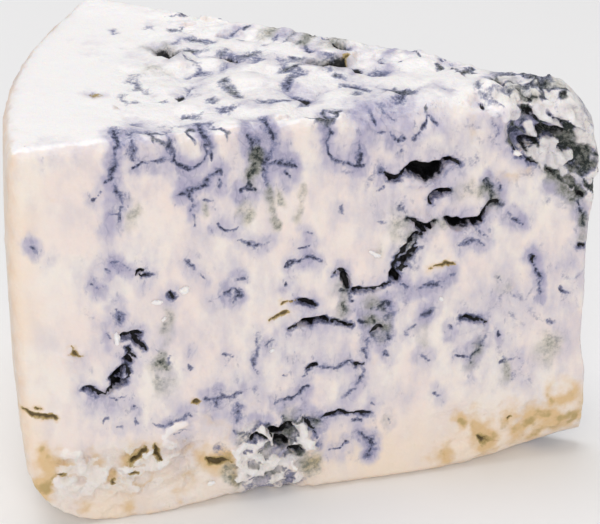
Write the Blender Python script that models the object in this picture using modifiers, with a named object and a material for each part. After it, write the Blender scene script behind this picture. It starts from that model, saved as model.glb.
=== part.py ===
"""A wedge of blue-veined cheese, cut with two knife strokes from half a drum.

The wedge is one solid. Its rind is the outer curve, at -X, and its thin end points along +X.
It stands on the drum's own flat face, and its top is where the drum was cut in half.
Run it with: blender --background --python part.py
"""

import math

import bmesh
import bpy
from mathutils import Matrix, Vector, noise

# Driving dimensions, in metres.
DRUM_RADIUS = 0.100
HEIGHT = 0.068
WEDGE_ANGLE = math.radians(38)
TIP_RADIUS = 0.006  # how far from the drum's axis the thin end starts

FOOT_ROUNDING = 0.012  # where the rind turns under to the flat face
CROWN_ROUNDING = 0.0025  # where the rind meets the cut top
HEEL_BULGE = 0.0013  # how far the rind swells at half height
CUT_EDGE_ROUNDING = 0.0014
CUT_EDGE_ANGLE = math.radians(50)  # a turn sharper than this is a knife-cut edge

SPIN_STEPS = 11
ARC_STEPS = 6
HALF_ANGLE = WEDGE_ANGLE / 2
# The drum's axis stands here, so that the wedge's box is centred on X 0.
AXIS_X = (DRUM_RADIUS + TIP_RADIUS * math.cos(HALF_ANGLE)) / 2

PASTE_COLOUR = (0.79, 0.72, 0.66, 1.0)
PASTE_ROUGHNESS = 0.45

# Hollows in the front cut, as (along from the rind, height, length, width, depth, tilt in degrees), in mm.
FISSURES = {
    "upper_eye": (67.2, 56.0, 9.5, 3.0, 4.5, 6),
    "lesser_eye": (69.2, 52.0, 4.6, 1.8, 3.0, 8),
    "blue_gully": (63.3, 41.2, 9.5, 4.2, 3.2, 52),
    "curved_split": (73.0, 46.8, 8.5, 1.9, 3.6, 2),
    "long_split": (49.0, 31.3, 12.5, 1.8, 4.0, -8),
    "left_split_head": (19.3, 32.4, 4.0, 2.2, 3.0, -55),
    "left_split_tail": (16.4, 26.5, 7.5, 2.8, 3.4, 58),
    "foot_pocket": (41.3, 10.4, 7.5, 3.6, 3.4, -10),
    "crumbled_foot": (18.0, 10.4, 5.5, 2.6, 2.4, 16),
}
# The front of the thin end's top corner has crumbled away: centre, and radii along, out and up, in mm.
CRUMBLED_CORNER_CENTRE = (92.0, 4.2, 66.0)
CRUMBLED_CORNER_RADII = (13.0, 7.0, 16.0)


def clear_scene():
    for obj in list(bpy.data.objects):
        bpy.data.objects.remove(obj)


def new_collection(name):
    collection = bpy.data.collections.new(name)
    bpy.context.scene.collection.children.link(collection)
    return collection


def heel_radius(z):
    """The rind's distance from the drum's axis at height z: a shallow barrel."""
    from_middle = (z - HEIGHT / 2) / (HEIGHT / 2)
    return DRUM_RADIUS - HEEL_BULGE * from_middle**2


def quarter_arc(centre_r, centre_z, radius, start):
    """Points of a quarter circle in the radial plane, turning anticlockwise from the start angle."""
    for step in range(ARC_STEPS + 1):
        angle = start + math.pi / 2 * step / ARC_STEPS
        yield (centre_r + radius * math.cos(angle), centre_z + radius * math.sin(angle))


def radial_section():
    """The drum's half section as (distance from the axis, height), from the thin end out and back."""
    foot_r = heel_radius(FOOT_ROUNDING) - FOOT_ROUNDING
    crown_z = HEIGHT - CROWN_ROUNDING
    crown_r = heel_radius(crown_z) - CROWN_ROUNDING
    points = [(TIP_RADIUS, 0.0)]
    points += quarter_arc(foot_r, FOOT_ROUNDING, FOOT_ROUNDING, -math.pi / 2)
    for step in range(1, ARC_STEPS):
        z = FOOT_ROUNDING + (crown_z - FOOT_ROUNDING) * step / ARC_STEPS
        points.append((heel_radius(z), z))
    points += quarter_arc(crown_r, crown_z, CROWN_ROUNDING, 0.0)
    points.append((TIP_RADIUS, HEIGHT))
    return points


def front_cut_point(along_mm, out_mm, up_mm):
    """A place on the front cut: along it from the rind, out of its face, and up from the foot, in mm."""
    towards_tip = Vector((math.cos(HALF_ANGLE), math.sin(HALF_ANGLE), 0.0))
    outwards = Vector((math.sin(HALF_ANGLE), -math.cos(HALF_ANGLE), 0.0))
    axis = Vector((AXIS_X, 0.0, 0.0))
    from_axis = along_mm / 1000 - DRUM_RADIUS
    return axis + towards_tip * from_axis + outwards * out_mm / 1000 + Vector((0.0, 0.0, up_mm / 1000))


def wedge_body(collection):
    """The radial section spun about the drum's axis by the wedge angle, with its knife-cut edges eased."""
    mesh = bpy.data.meshes.new("cheese_wedge")
    bm = bmesh.new()
    corners = [bm.verts.new((AXIS_X - r, 0.0, z)) for r, z in radial_section()]
    section = bm.faces.new(corners)
    drum_axis = Vector((AXIS_X, 0.0, 0.0))
    bmesh.ops.rotate(bm, verts=corners, cent=drum_axis, matrix=Matrix.Rotation(HALF_ANGLE, 3, "Z"))
    bmesh.ops.spin(
        bm,
        geom=[section, *section.edges, *corners],
        cent=drum_axis,
        axis=(0.0, 0.0, 1.0),
        angle=-WEDGE_ANGLE,
        steps=SPIN_STEPS,
    )
    bmesh.ops.remove_doubles(bm, verts=bm.verts, dist=1e-6)
    bmesh.ops.holes_fill(bm, edges=[edge for edge in bm.edges if edge.is_boundary])
    bmesh.ops.recalc_face_normals(bm, faces=bm.faces)
    bm.to_mesh(mesh)
    bm.free()
    body = bpy.data.objects.new("cheese_wedge", mesh)
    collection.objects.link(body)
    easing = body.modifiers.new("eased_edges", "BEVEL")
    easing.limit_method = "ANGLE"
    easing.angle_limit = CUT_EDGE_ANGLE
    easing.width = CUT_EDGE_ROUNDING
    easing.use_clamp_overlap = False
    easing.segments = 3
    return body


def rough_lump(name, collection, centre, radii, turn, roughness):
    """A cutter: an icosphere stretched to the radii, pushed in and out by smooth noise."""
    mesh = bpy.data.meshes.new(name)
    bm = bmesh.new()
    bmesh.ops.create_icosphere(bm, subdivisions=3, radius=1.0)
    for vert in bm.verts:
        vert.co *= 1 + roughness * noise.noise(vert.co * 1.7 + centre * 400)
    bmesh.ops.scale(bm, vec=radii, verts=bm.verts)
    bm.to_mesh(mesh)
    bm.free()
    lump = bpy.data.objects.new(name, mesh)
    lump.matrix_world = Matrix.Translation(centre) @ turn
    lump.display_type = "WIRE"
    lump.hide_render = True
    collection.objects.link(lump)
    return lump


def place_fissures(cutters):
    """The mould-lined eyes and splits that open on the front cut."""
    face_turn = Matrix.Rotation(HALF_ANGLE, 4, "Z")
    for name, (along, up, length, width, depth, tilt) in FISSURES.items():
        radii = Vector((length / 2, depth, width / 2)) / 1000
        turn = face_turn @ Matrix.Rotation(-math.radians(tilt), 4, "Y")
        rough_lump(name, cutters, front_cut_point(along, 0, up), radii, turn, 0.35)


def place_crumbled_corner(cutters):
    """What has broken away from the front of the thin end's top corner."""
    centre = front_cut_point(*CRUMBLED_CORNER_CENTRE)
    radii = Vector(CRUMBLED_CORNER_RADII) / 1000
    turn = Matrix.Rotation(HALF_ANGLE, 4, "Z")
    rough_lump("crumbled_corner", cutters, centre, radii, turn, 0.25)


def cut_all(body, cutters):
    """Takes every cutter out of the body in one step, so that its wide flat faces stay true."""
    knife = body.modifiers.new("crumbled_away", "BOOLEAN")
    knife.operation = "DIFFERENCE"
    knife.solver = "EXACT"
    knife.operand_type = "COLLECTION"
    knife.collection = cutters


def cheese_material():
    material = bpy.data.materials.new("blue_veined_paste")
    material.use_nodes = True
    shader = material.node_tree.nodes["Principled BSDF"]
    shader.inputs["Base Color"].default_value = PASTE_COLOUR
    shader.inputs["Roughness"].default_value = PASTE_ROUGHNESS
    shader.inputs["Metallic"].default_value = 0.0
    return material


def main():
    clear_scene()
    part = new_collection("cheese_wedge_part")
    cutters = new_collection("cutters")
    body = wedge_body(part)
    place_fissures(cutters)
    place_crumbled_corner(cutters)
    cut_all(body, cutters)
    body.data.materials.append(cheese_material())
    body.data.shade_smooth()
    body.data.set_sharp_from_angle(angle=math.radians(35))


main()
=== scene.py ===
"""A wedge of blue-veined soft cheese, cut from a half-height drum.

Mould lines its splits, its foot has torn into flakes and its thin end has crumbled.
"""

import math

import bmesh
import bpy
import numpy as np
from mathutils import Matrix, Vector
from mathutils.bvhtree import BVHTree


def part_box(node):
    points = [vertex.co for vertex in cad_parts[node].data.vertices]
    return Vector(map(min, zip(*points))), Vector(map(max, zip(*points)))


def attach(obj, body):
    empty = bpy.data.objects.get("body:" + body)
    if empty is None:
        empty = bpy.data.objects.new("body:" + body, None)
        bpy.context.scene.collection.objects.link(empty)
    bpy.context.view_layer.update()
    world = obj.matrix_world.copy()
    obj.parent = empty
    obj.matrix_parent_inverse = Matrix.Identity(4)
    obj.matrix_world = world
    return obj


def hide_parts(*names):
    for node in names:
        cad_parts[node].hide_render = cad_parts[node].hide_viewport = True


bl_info = {
    "name": "Blue cheese wedge",
    "version": (1, 0, 0),
    "blender": (4, 5, 0),
    "location": "3D View > Sidebar > Cheese",
    "description": "Builds a wedge of blue-veined cheese with its crumbs, and a plain studio round it",
    "category": "Add Mesh",
}

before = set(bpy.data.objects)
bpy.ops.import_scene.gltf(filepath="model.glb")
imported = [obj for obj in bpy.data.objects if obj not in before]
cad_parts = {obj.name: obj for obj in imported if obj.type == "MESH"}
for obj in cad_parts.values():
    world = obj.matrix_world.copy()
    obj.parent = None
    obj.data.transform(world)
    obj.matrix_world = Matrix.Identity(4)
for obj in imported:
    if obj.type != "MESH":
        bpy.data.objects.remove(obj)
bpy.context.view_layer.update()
LOWEST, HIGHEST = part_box("cheese_wedge")
BODY = "root"
MM = 0.001
FAR = 1000.0  # mm, a distance that no mark reaches
WORN_FOOT = 1.0  # mm, the marks' heights count from here, where the worn lower edge shows
KNIFE_DRAG = 1.7  # how much further mould is smeared up and down a cut than along it
END_SHARE, TAPER_LENGTH = 0.45, 2.2  # a mark's width at its very ends, and the mm over which it narrows
FIRST_VOXEL, LAST_VOXEL = 0.45, 0.34  # mm, how finely the two remeshes join the relief

# The studio, in metres from the middle of the wedge's foot.
FLOOR_REACH = 3.0
FLOOR_COLOUR = "#F6F5F3"
SKY_COLOUR, SKY_STRENGTH = "#FBFAFA", 0.44
LIGHTS = (  # name, place, size, watts, tint
    ("key", (-0.12, 0.10, 0.80), (0.6, 0.6), 3.3, "#F6F9FF"),
    ("fill", (0.10, -0.70, 0.42), (0.6, 0.3), 2.45, "#FFFAF7"),
)
VIEW_AIM = (0.0001, 0.0, 0.0343)
VIEW_AZIMUTH, VIEW_ELEVATION, VIEW_ROLL = (math.radians(angle) for angle in (4.98, 28.09, -0.43))
VIEW_DISTANCE = 0.3516
FOCAL_LENGTH, SENSOR_WIDTH = 126, 36  # mm

# Marks on the front cut. Each is (width mm, amount, (along from the rind, height) mm, ...).
# A split's amount is its depth in mm; every other amount is a strength from 0 to 1.
FRONT_MARKS = {
    "split": (
        (2.8, 4.5, (64.4, 56.6), (66.4, 55.9), (68.2, 56.6)),
        (1.6, 4.0, (68.3, 56.9), (70.4, 57.3)),
        (0.8, 2.5, (70.4, 57.3), (71.7, 56.3)),
        (1.2, 3.5, (62.6, 56.3), (64.4, 57.1)),
        (0.8, 1.8, (62.6, 56.1), (61.2, 55.5), (60.2, 55.9), (59.1, 57.0)),
        (1.5, 3.4, (67.2, 51.8), (69.0, 52.0), (70.6, 51.8)),
        (1.0, 2.0, (66.9, 51.6), (67.1, 50.3)),
        (0.8, 2.4, (63.0, 48.4), (64.3, 47.5), (65.3, 46.4), (67.0, 46.2), (68.0, 47.1)),
        (1.2, 3.0, (69.5, 47.4), (70.6, 46.9)),
        (1.9, 4.0, (70.6, 46.8), (72.0, 46.2), (73.6, 46.0)),
        (1.1, 3.2, (73.6, 45.9), (75.2, 45.7), (76.2, 46.9), (77.0, 48.3)),
        (1.4, 2.0, (76.9, 48.1), (78.3, 49.0)),
        (0.9, 2.2, (65.8, 44.8), (64.6, 44.6), (63.6, 43.8), (62.6, 42.2), (61.4, 40.6), (60.9, 38.8)),
        (0.8, 1.6, (65.2, 43.8), (64.4, 42.2), (63.4, 40.6), (62.4, 38.8)),
        (0.8, 1.4, (65.4, 42.6), (63.6, 41.8)),
        (0.8, 1.4, (64.4, 41.0), (62.2, 40.6)),
        (0.8, 1.4, (63.6, 39.4), (61.6, 39.0)),
        (1.5, 3.0, (66.1, 45.3), (65.4, 46.2)),
        (1.6, 3.2, (61.0, 38.8), (61.7, 37.2)),
        (0.8, 2.2, (60.6, 37.0), (59.5, 36.4), (58.0, 36.1), (56.0, 36.2), (54.5, 36.6)),
        (1.5, 2.8, (53.4, 39.2), (53.3, 37.2)),
        (0.8, 1.6, (53.2, 39.8), (52.0, 40.2), (51.3, 40.0)),
        (1.1, 2.6, (17.0, 33.0), (18.6, 33.3), (20.2, 33.2)),
        (1.0, 2.2, (19.1, 32.7), (19.6, 31.5), (20.5, 30.4)),
        (1.6, 3.2, (17.2, 29.4), (17.8, 28.8)),
        (0.8, 2.0, (17.9, 31.0), (18.1, 30.0), (18.8, 29.4)),
        (1.0, 3.0, (17.0, 28.2), (16.2, 27.0), (15.3, 25.6), (14.7, 24.2), (13.8, 23.3)),
        (1.9, 3.0, (16.9, 25.4), (15.6, 24.6)),
        (0.8, 2.0, (17.4, 28.0), (17.6, 26.6), (17.2, 25.6)),
        (0.8, 2.0, (13.4, 23.2), (12.3, 23.5), (11.4, 24.4), (10.4, 24.8)),
        (0.8, 2.0, (19.3, 44.2), (20.2, 44.9), (21.2, 44.7)),
        (0.7, 1.8, (20.2, 44.6), (20.7, 43.8), (21.8, 43.9)),
        (0.8, 2.6, (43.4, 30.6), (44.9, 30.9)),
        (1.4, 3.6, (44.9, 31.0), (46.2, 31.7), (47.6, 31.3), (49.0, 31.6), (50.5, 31.2)),
        (0.9, 3.0, (50.5, 31.2), (52.0, 30.6), (54.2, 30.1)),
        (0.8, 2.2, (45.2, 35.7), (46.8, 35.2), (48.2, 34.6)),
        (0.8, 1.6, (85.1, 38.3), (85.6, 37.0)),
        (1.2, 1.4, (92.7, 39.3), (93.8, 39.2)),
        (1.0, 1.8, (46.8, 23.2), (48.2, 23.7)),
        (1.1, 1.8, (54.7, 22.8), (55.9, 22.3)),
        (1.4, 1.8, (58.0, 28.3), (58.9, 28.8)),
        (0.8, 1.8, (72.5, 28.9), (74.2, 28.4), (75.3, 27.8), (77.3, 27.0)),
        (0.8, 1.4, (49.5, 13.5), (51.3, 13.8), (52.6, 13.9), (54.0, 13.4), (55.5, 13.0), (57.3, 12.4)),
        (0.8, 1.4, (24.8, 40.1), (25.6, 39.6)),
        (1.1, 1.8, (82.8, 64.2), (84.4, 63.2), (85.0, 62.2)),
        (1.7, 2.6, (37.8, 11.1), (38.8, 11.5), (39.6, 10.6)),
        (2.2, 3.0, (40.4, 12.2), (42.0, 11.4), (43.8, 12.0)),
        (2.6, 3.4, (41.8, 9.6), (43.2, 9.2)),
        (1.5, 2.4, (44.2, 7.8), (45.4, 7.2)),
        (0.7, 1.6, (45.8, 13.9), (46.8, 12.8), (47.9, 11.0)),
        (1.6, 3.4, (85.2, 61.0), (87.0, 60.2), (89.4, 59.6)),
        (1.6, 2.0, (82.9, 58.2), (84.2, 58.9), (85.2, 58.8)),
        (1.2, 2.0, (82.6, 64.2), (84.4, 63.8)),
        (0.7, 1.4, (86.6, 63.2), (88.2, 62.0), (90.2, 60.4)),
        (0.7, 1.2, (80.2, 58.4), (81.2, 57.0), (82.0, 56.8)),
        (0.9, 1.6, (83.2, 56.0), (84.8, 54.6)),
        (0.8, 1.4, (88.6, 65.2), (91.2, 65.1)),
        (1.0, 1.6, (86.6, 54.0), (88.0, 53.2)),
        (1.4, 1.6, (91.8, 49.8), (92.8, 48.8)),
    ),
    "gilt": (  # splits lined with golden-brown moulds
        (0.6, 1.0, (0.8, 22.5), (2.4, 21.4), (5.4, 20.3)),
        (0.6, 0.6, (2.1, 23.0), (3.5, 22.4)),
        (0.6, 1.3, (42.4, 35.8), (43.6, 35.9), (45.2, 35.7)),
        (0.6, 1.0, (40.5, 33.2), (42.0, 33.4), (44.0, 33.9)),
        (0.6, 1.3, (67.3, 38.5), (69.0, 39.0), (69.8, 39.4), (71.7, 39.0)),
        (0.6, 1.0, (27.9, 19.6), (29.0, 19.3)),
        (0.9, 1.2, (8.8, 33.0), (9.6, 31.7), (10.4, 30.8)),
        (1.1, 1.4, (17.6, 10.0), (19.0, 10.8), (19.9, 12.0)),
        (1.0, 1.5, (21.2, 12.4), (21.6, 11.2), (22.2, 9.4)),
        (0.9, 1.0, (17.0, 7.5), (17.9, 7.1)),
        (0.7, 0.8, (5.2, 9.4), (6.2, 9.6)),
        (1.0, 1.0, (30.0, 8.0), (32.0, 7.4), (33.8, 7.2)),
        (0.7, 0.8, (14.2, 6.4), (14.6, 7.2)),
        (1.5, 1.2, (76.4, 5.0), (77.6, 4.4)),
        (0.8, 0.6, (81.6, 8.0), (82.4, 8.6)),
    ),
    "vein": (
        (4.4, 0.72, (65.4, 44.0), (63.8, 42.0), (62.2, 39.2)),
        (1.5, 1.0, (17.8, 67.0), (17.5, 65.0), (17.0, 63.0), (16.9, 61.3)),
        (1.1, 1.0, (16.1, 60.5), (17.4, 61.3)),
        (1.3, 0.8, (17.0, 60.0), (17.7, 58.5), (18.0, 57.0), (17.5, 55.0), (17.5, 53.4)),
        (0.9, 0.7, (15.9, 55.6), (17.5, 55.2)),
        (0.9, 0.8, (14.8, 58.8), (13.6, 57.6)),
        (1.1, 0.9, (20.3, 62.6), (22.0, 63.4), (24.0, 63.1), (26.5, 62.5)),
        (1.6, 0.8, (19.6, 66.9), (20.2, 65.6), (20.0, 64.0)),
        (0.9, 0.8, (25.7, 67.0), (26.2, 65.0), (26.5, 62.8)),
        (
            1.0, 1.0, (26.6, 62.8), (27.3, 61.8), (28.5, 61.1),
            (29.7, 61.3), (30.7, 62.1), (31.2, 63.5), (30.9, 64.8),
        ),
        (1.7, 0.9, (31.2, 66.4), (31.6, 64.4), (32.0, 62.2)),
        (
            1.2, 1.0, (33.3, 59.8), (32.6, 60.5), (31.6, 59.9),
            (31.0, 58.6), (30.2, 58.2), (28.9, 57.7), (27.2, 57.4),
        ),
        (1.1, 1.0, (28.6, 57.5), (29.0, 56.0), (29.3, 55.0), (28.6, 54.1)),
        (0.8, 0.7, (29.1, 53.5), (29.0, 51.4)),
        (0.9, 0.9, (33.0, 59.0), (33.2, 57.5)),
        (1.1, 0.8, (31.0, 55.7), (32.2, 55.2)),
        (1.0, 0.7, (32.3, 54.1), (32.6, 53.2)),
        (1.5, 1.0, (37.9, 65.8), (38.6, 63.8), (39.2, 62.4)),
        (3.0, 0.95, (39.2, 63.6), (39.0, 61.8), (40.0, 60.8)),
        (1.5, 1.0, (41.2, 67.0), (41.4, 64.0), (41.0, 62.0), (40.2, 60.6)),
        (1.4, 1.0, (38.6, 60.5), (38.2, 58.5), (37.8, 56.8)),
        (1.3, 1.0, (36.7, 56.4), (38.6, 56.2)),
        (1.2, 0.9, (40.2, 60.0), (40.3, 58.0), (40.5, 56.2)),
        (1.1, 1.0, (41.0, 60.6), (43.0, 60.4), (44.4, 60.0), (45.1, 59.0)),
        (1.1, 0.9, (43.8, 58.8), (43.9, 57.6)),
        (1.0, 0.9, (32.7, 51.1), (33.8, 49.9), (35.2, 49.7), (36.0, 50.4)),
        (1.0, 0.8, (36.0, 47.9), (37.7, 47.5), (38.6, 46.3), (40.9, 46.6)),
        (1.1, 0.9, (3.5, 51.4), (3.9, 50.6)),
        (0.9, 1.0, (15.8, 47.2), (17.0, 46.8), (18.0, 45.8), (18.9, 45.1)),
        (0.9, 0.8, (14.5, 45.8), (15.0, 45.2)),
        (1.0, 0.9, (12.6, 43.0), (13.6, 42.2)),
        (0.9, 0.7, (27.9, 45.2), (28.6, 43.6)),
        (0.8, 0.7, (29.6, 42.7), (30.6, 41.6)),
        (0.9, 0.9, (35.4, 40.7), (36.6, 40.9)),
        (1.2, 0.9, (33.6, 38.8), (35.2, 39.3), (35.9, 38.3), (35.0, 37.2)),
        (0.7, 0.6, (33.0, 38.0), (31.2, 37.2)),
        (1.7, 0.9, (16.3, 38.1), (16.8, 37.0), (16.4, 35.8)),
        (0.8, 0.9, (43.4, 39.1), (43.6, 38.7)),
        (1.0, 0.9, (43.7, 42.3), (44.8, 43.1), (46.5, 43.1), (48.0, 43.0), (48.9, 42.2)),
        (0.8, 0.8, (46.8, 47.8), (47.8, 47.4)),
        (1.0, 0.8, (45.8, 45.1), (47.4, 45.4)),
        (1.1, 0.8, (14.4, 34.2), (15.0, 33.2)),
        (2.4, 0.75, (22.8, 28.0), (23.4, 26.0), (23.2, 24.2)),
        (1.2, 0.6, (24.4, 28.6), (24.0, 26.8)),
        (1.4, 0.6, (22.6, 29.6), (22.0, 30.6)),
        (1.0, 0.7, (27.8, 29.4), (27.4, 28.4)),
        (0.9, 0.7, (27.1, 26.8), (27.3, 26.2)),
        (0.8, 0.6, (33.6, 27.6), (34.5, 27.1)),
        (1.3, 0.6, (38.9, 30.6), (38.6, 28.0), (38.1, 26.0), (38.4, 23.8)),
        (1.2, 0.8, (40.6, 28.2), (41.6, 28.9)),
        (0.9, 0.7, (43.3, 25.9), (44.4, 25.7)),
        (1.0, 0.7, (43.0, 22.3), (43.8, 22.1)),
        (1.2, 0.8, (30.0, 19.8), (31.6, 19.8), (33.8, 19.6), (35.8, 20.1)),
        (1.9, 0.8, (31.6, 19.9), (32.0, 18.4)),
        (1.5, 0.8, (35.2, 18.3), (35.6, 16.8), (35.0, 15.0)),
        (1.1, 0.7, (34.5, 13.2), (34.8, 12.8)),
        (1.1, 0.8, (23.6, 15.6), (25.2, 16.9), (27.4, 17.5)),
        (1.0, 0.6, (24.8, 13.9), (26.4, 14.3)),
        (0.9, 0.7, (15.2, 16.9), (15.7, 16.4)),
        (0.9, 0.6, (18.4, 17.6), (18.6, 16.6)),
        (0.9, 0.6, (13.8, 18.8), (13.0, 17.6)),
        (1.2, 0.8, (18.2, 20.4), (18.6, 19.6)),
        (1.1, 0.8, (14.0, 22.6), (15.4, 22.0), (17.0, 22.8)),
        (1.2, 0.9, (41.4, 17.0), (43.5, 17.6), (45.5, 18.3), (46.8, 19.8)),
        (1.1, 0.8, (46.3, 21.4), (46.9, 22.6)),
        (1.6, 0.8, (42.8, 14.4), (43.2, 13.2)),
        (2.0, 1.0, (38.4, 12.6), (40.2, 13.2)),
        (2.2, 1.0, (45.6, 14.2), (47.6, 13.4), (49.0, 12.0)),
        (1.6, 0.9, (41.6, 7.6), (43.6, 7.0)),
        (1.6, 1.0, (47.4, 10.6), (48.8, 9.4)),
        (1.2, 0.8, (36.7, 6.9), (37.8, 6.4)),
        (1.0, 0.8, (36.2, 3.2), (37.8, 3.7), (39.2, 3.2)),
        (1.3, 0.8, (39.4, 4.0), (41.0, 3.3)),
        (0.9, 0.7, (43.4, 2.2), (44.6, 1.8)),
        (1.0, 0.7, (25.2, 15.2), (26.8, 14.5)),
        (0.9, 0.6, (21.2, 16.2), (22.8, 15.8)),
        (3.6, 1.2, (91.2, 57.4), (93.4, 56.6), (93.8, 54.0), (92.6, 52.0)),
        (3.0, 1.2, (90.6, 54.0), (92.2, 53.0)),
        (3.0, 1.1, (87.4, 53.6), (89.6, 51.8)),
        (3.4, 1.1, (85.8, 66.4), (87.4, 67.6), (89.4, 66.8)),
        (2.2, 1.1, (88.6, 65.6), (90.4, 66.6)),
        (2.6, 1.1, (83.0, 61.8), (84.6, 60.4), (86.2, 59.6)),
        (2.2, 1.1, (88.4, 60.4), (90.6, 59.4), (91.8, 58.4)),
        (1.8, 1.0, (82.0, 64.4), (83.8, 63.4)),
        (2.4, 1.0, (80.6, 67.4), (83.4, 66.6), (84.8, 65.6)),
        (1.4, 0.8, (81.9, 68.8), (83.4, 68.4)),
        (1.4, 0.9, (84.2, 62.6), (85.2, 61.4)),
        (1.2, 0.9, (82.6, 61.6), (82.8, 60.4)),
        (1.5, 0.8, (48.4, 23.4), (50.0, 22.8), (51.0, 22.2), (52.6, 22.8), (54.6, 22.8)),
        (1.2, 0.9, (56.4, 23.4), (56.4, 25.0), (57.0, 26.6), (58.2, 27.6)),
        (2.6, 0.9, (58.2, 31.0), (58.6, 29.4), (59.2, 27.6)),
        (1.4, 0.9, (57.2, 30.4), (55.6, 30.4)),
        (1.5, 1.0, (57.8, 32.6), (59.2, 32.4), (60.0, 33.4), (61.0, 33.2)),
        (1.5, 0.9, (60.2, 30.6), (60.4, 31.2)),
        (1.1, 0.9, (60.0, 27.4), (60.3, 26.6)),
        (1.3, 0.8, (60.5, 24.0), (60.8, 23.0)),
        (1.3, 0.8, (56.2, 21.4), (56.0, 19.6), (55.0, 18.0), (53.4, 16.8)),
        (1.6, 0.9, (52.6, 34.0), (52.8, 32.6)),
        (1.4, 0.8, (53.6, 35.0), (54.4, 34.0)),
        (1.4, 0.7, (52.4, 36.6), (53.8, 36.0), (54.2, 35.0)),
        (1.3, 1.0, (62.8, 36.4), (63.6, 35.7)),
        (1.1, 0.9, (65.4, 35.3), (68.0, 36.0), (70.0, 36.2), (71.8, 37.0)),
        (0.9, 0.7, (68.4, 35.6), (69.4, 34.9)),
        (1.1, 0.8, (72.2, 42.2), (74.0, 42.8), (76.0, 42.0)),
        (1.2, 0.8, (75.0, 44.2), (76.8, 43.2)),
        (1.5, 0.9, (80.8, 45.8), (82.0, 45.0), (83.0, 44.4)),
        (1.0, 0.7, (80.2, 46.8), (80.8, 46.2)),
        (1.8, 0.6, (79.4, 35.6), (79.8, 34.2)),
        (1.2, 1.0, (84.4, 38.8), (85.4, 37.2), (86.0, 36.0), (86.7, 34.2), (86.6, 31.2)),
        (1.3, 0.7, (90.2, 31.8), (91.2, 30.6)),
        (1.1, 0.6, (88.0, 26.2), (89.2, 25.8)),
        (1.1, 0.9, (79.2, 24.8), (79.6, 24.2)),
        (2.0, 0.9, (76.8, 24.0), (76.4, 22.6)),
        (1.9, 0.95, (75.6, 21.6), (74.6, 20.8), (75.0, 19.4)),
        (1.1, 0.8, (72.4, 21.6), (74.0, 20.8)),
        (1.0, 0.7, (80.0, 18.8), (82.0, 19.0), (83.4, 19.4)),
        (1.2, 0.9, (70.8, 27.4), (71.2, 26.6)),
        (1.4, 0.9, (66.0, 29.9), (67.4, 30.4), (68.2, 31.4)),
        (1.2, 0.6, (65.0, 28.2), (63.8, 27.3)),
        (1.2, 0.7, (65.8, 22.4), (66.6, 21.8), (67.6, 21.0)),
        (1.0, 0.7, (69.0, 14.6), (69.8, 14.0)),
        (1.2, 0.7, (57.6, 14.4), (58.2, 13.8)),
        (1.2, 0.8, (54.4, 11.8), (56.0, 11.4)),
        (1.1, 0.8, (50.5, 6.6), (52.5, 7.0), (54.2, 7.8)),
        (1.4, 0.95, (55.8, 8.8), (57.4, 7.5), (58.2, 6.0), (57.2, 4.8)),
        (1.0, 0.6, (60.6, 11.8), (61.2, 10.2)),
        (1.2, 0.9, (59.0, 57.0), (58.4, 56.4)),
        (1.1, 0.8, (62.4, 59.8), (62.8, 60.4)),
        (
            1.2, 0.9, (50.4, 65.4), (51.2, 64.2), (50.6, 62.2),
            (50.6, 60.8), (52.0, 59.5), (54.0, 58.7), (56.0, 58.3),
        ),
        (1.2, 0.9, (55.3, 62.4), (55.4, 60.6), (55.5, 58.6)),
        (1.4, 0.9, (60.2, 62.8), (61.4, 61.9), (62.6, 62.1)),
        (1.2, 0.8, (56.8, 67.0), (57.8, 65.8), (58.2, 64.8)),
        (1.1, 0.8, (59.2, 67.2), (60.2, 65.6), (61.2, 64.6)),
        (1.2, 0.7, (58.2, 63.6), (59.4, 63.0)),
        (0.9, 0.7, (61.6, 66.8), (62.8, 66.0)),
        (1.1, 0.8, (64.2, 62.2), (66.0, 63.8), (67.0, 65.0), (68.4, 63.8)),
        (1.6, 0.8, (77.2, 63.2), (77.8, 61.8), (77.6, 60.4)),
        (1.0, 0.7, (66.8, 49.0), (67.6, 50.0)),
        (1.3, 0.8, (62.2, 50.6), (62.6, 49.6)),
        (1.2, 1.0, (76.4, 53.0), (77.0, 51.2), (77.6, 49.6)),
        (1.3, 0.9, (78.8, 52.2), (79.0, 51.4)),
        (1.2, 0.9, (80.2, 58.2), (81.4, 57.6), (82.8, 56.4), (84.4, 54.8)),
        (1.0, 0.6, (58.6, 53.4), (59.4, 54.4)),
        (1.0, 0.6, (52.8, 51.2), (53.0, 49.8)),
        (1.1, 0.6, (58.2, 48.6), (59.4, 47.8)),
        (1.4, 0.9, (92.2, 47.8), (92.8, 45.6), (93.2, 43.0)),
        (1.1, 0.8, (91.0, 48.4), (92.4, 47.6)),
    ),
    "haze": (
        (5.0, 0.8, (84.0, 59.0), (86.0, 55.6)),
        (6.0, 0.9, (87.0, 68.0), (86.0, 66.6)),
        (5.0, 0.9, (92.4, 55.0), (93.6, 51.0)),
        (4.5, 0.8, (16.0, 59.0), (16.2, 56.0), (15.6, 52.6)),
        (3.0, 0.7, (19.0, 66.4), (19.2, 63.0)),
        (3.4, 0.6, (21.0, 65.0), (26.0, 64.6)),
        (3.6, 0.5, (6.5, 65.4), (10.8, 65.0)),
        (3.0, 0.5, (3.6, 50.0), (5.4, 48.2), (6.8, 49.6)),
        (3.4, 0.5, (21.4, 50.6), (22.4, 48.6)),
        (4.0, 0.6, (18.6, 44.4), (20.4, 42.8)),
        (3.4, 0.6, (28.6, 45.2), (28.8, 43.2)),
        (3.0, 0.6, (33.2, 38.6), (35.0, 38.0)),
        (4.0, 0.8, (41.6, 64.4), (43.4, 62.2)),
        (4.0, 0.6, (40.6, 67.0), (39.8, 64.0)),
        (3.0, 0.6, (32.0, 63.0), (32.4, 59.6)),
        (3.0, 0.6, (27.8, 59.4), (29.2, 56.0)),
        (2.6, 0.6, (33.4, 50.4), (35.6, 50.2)),
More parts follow.
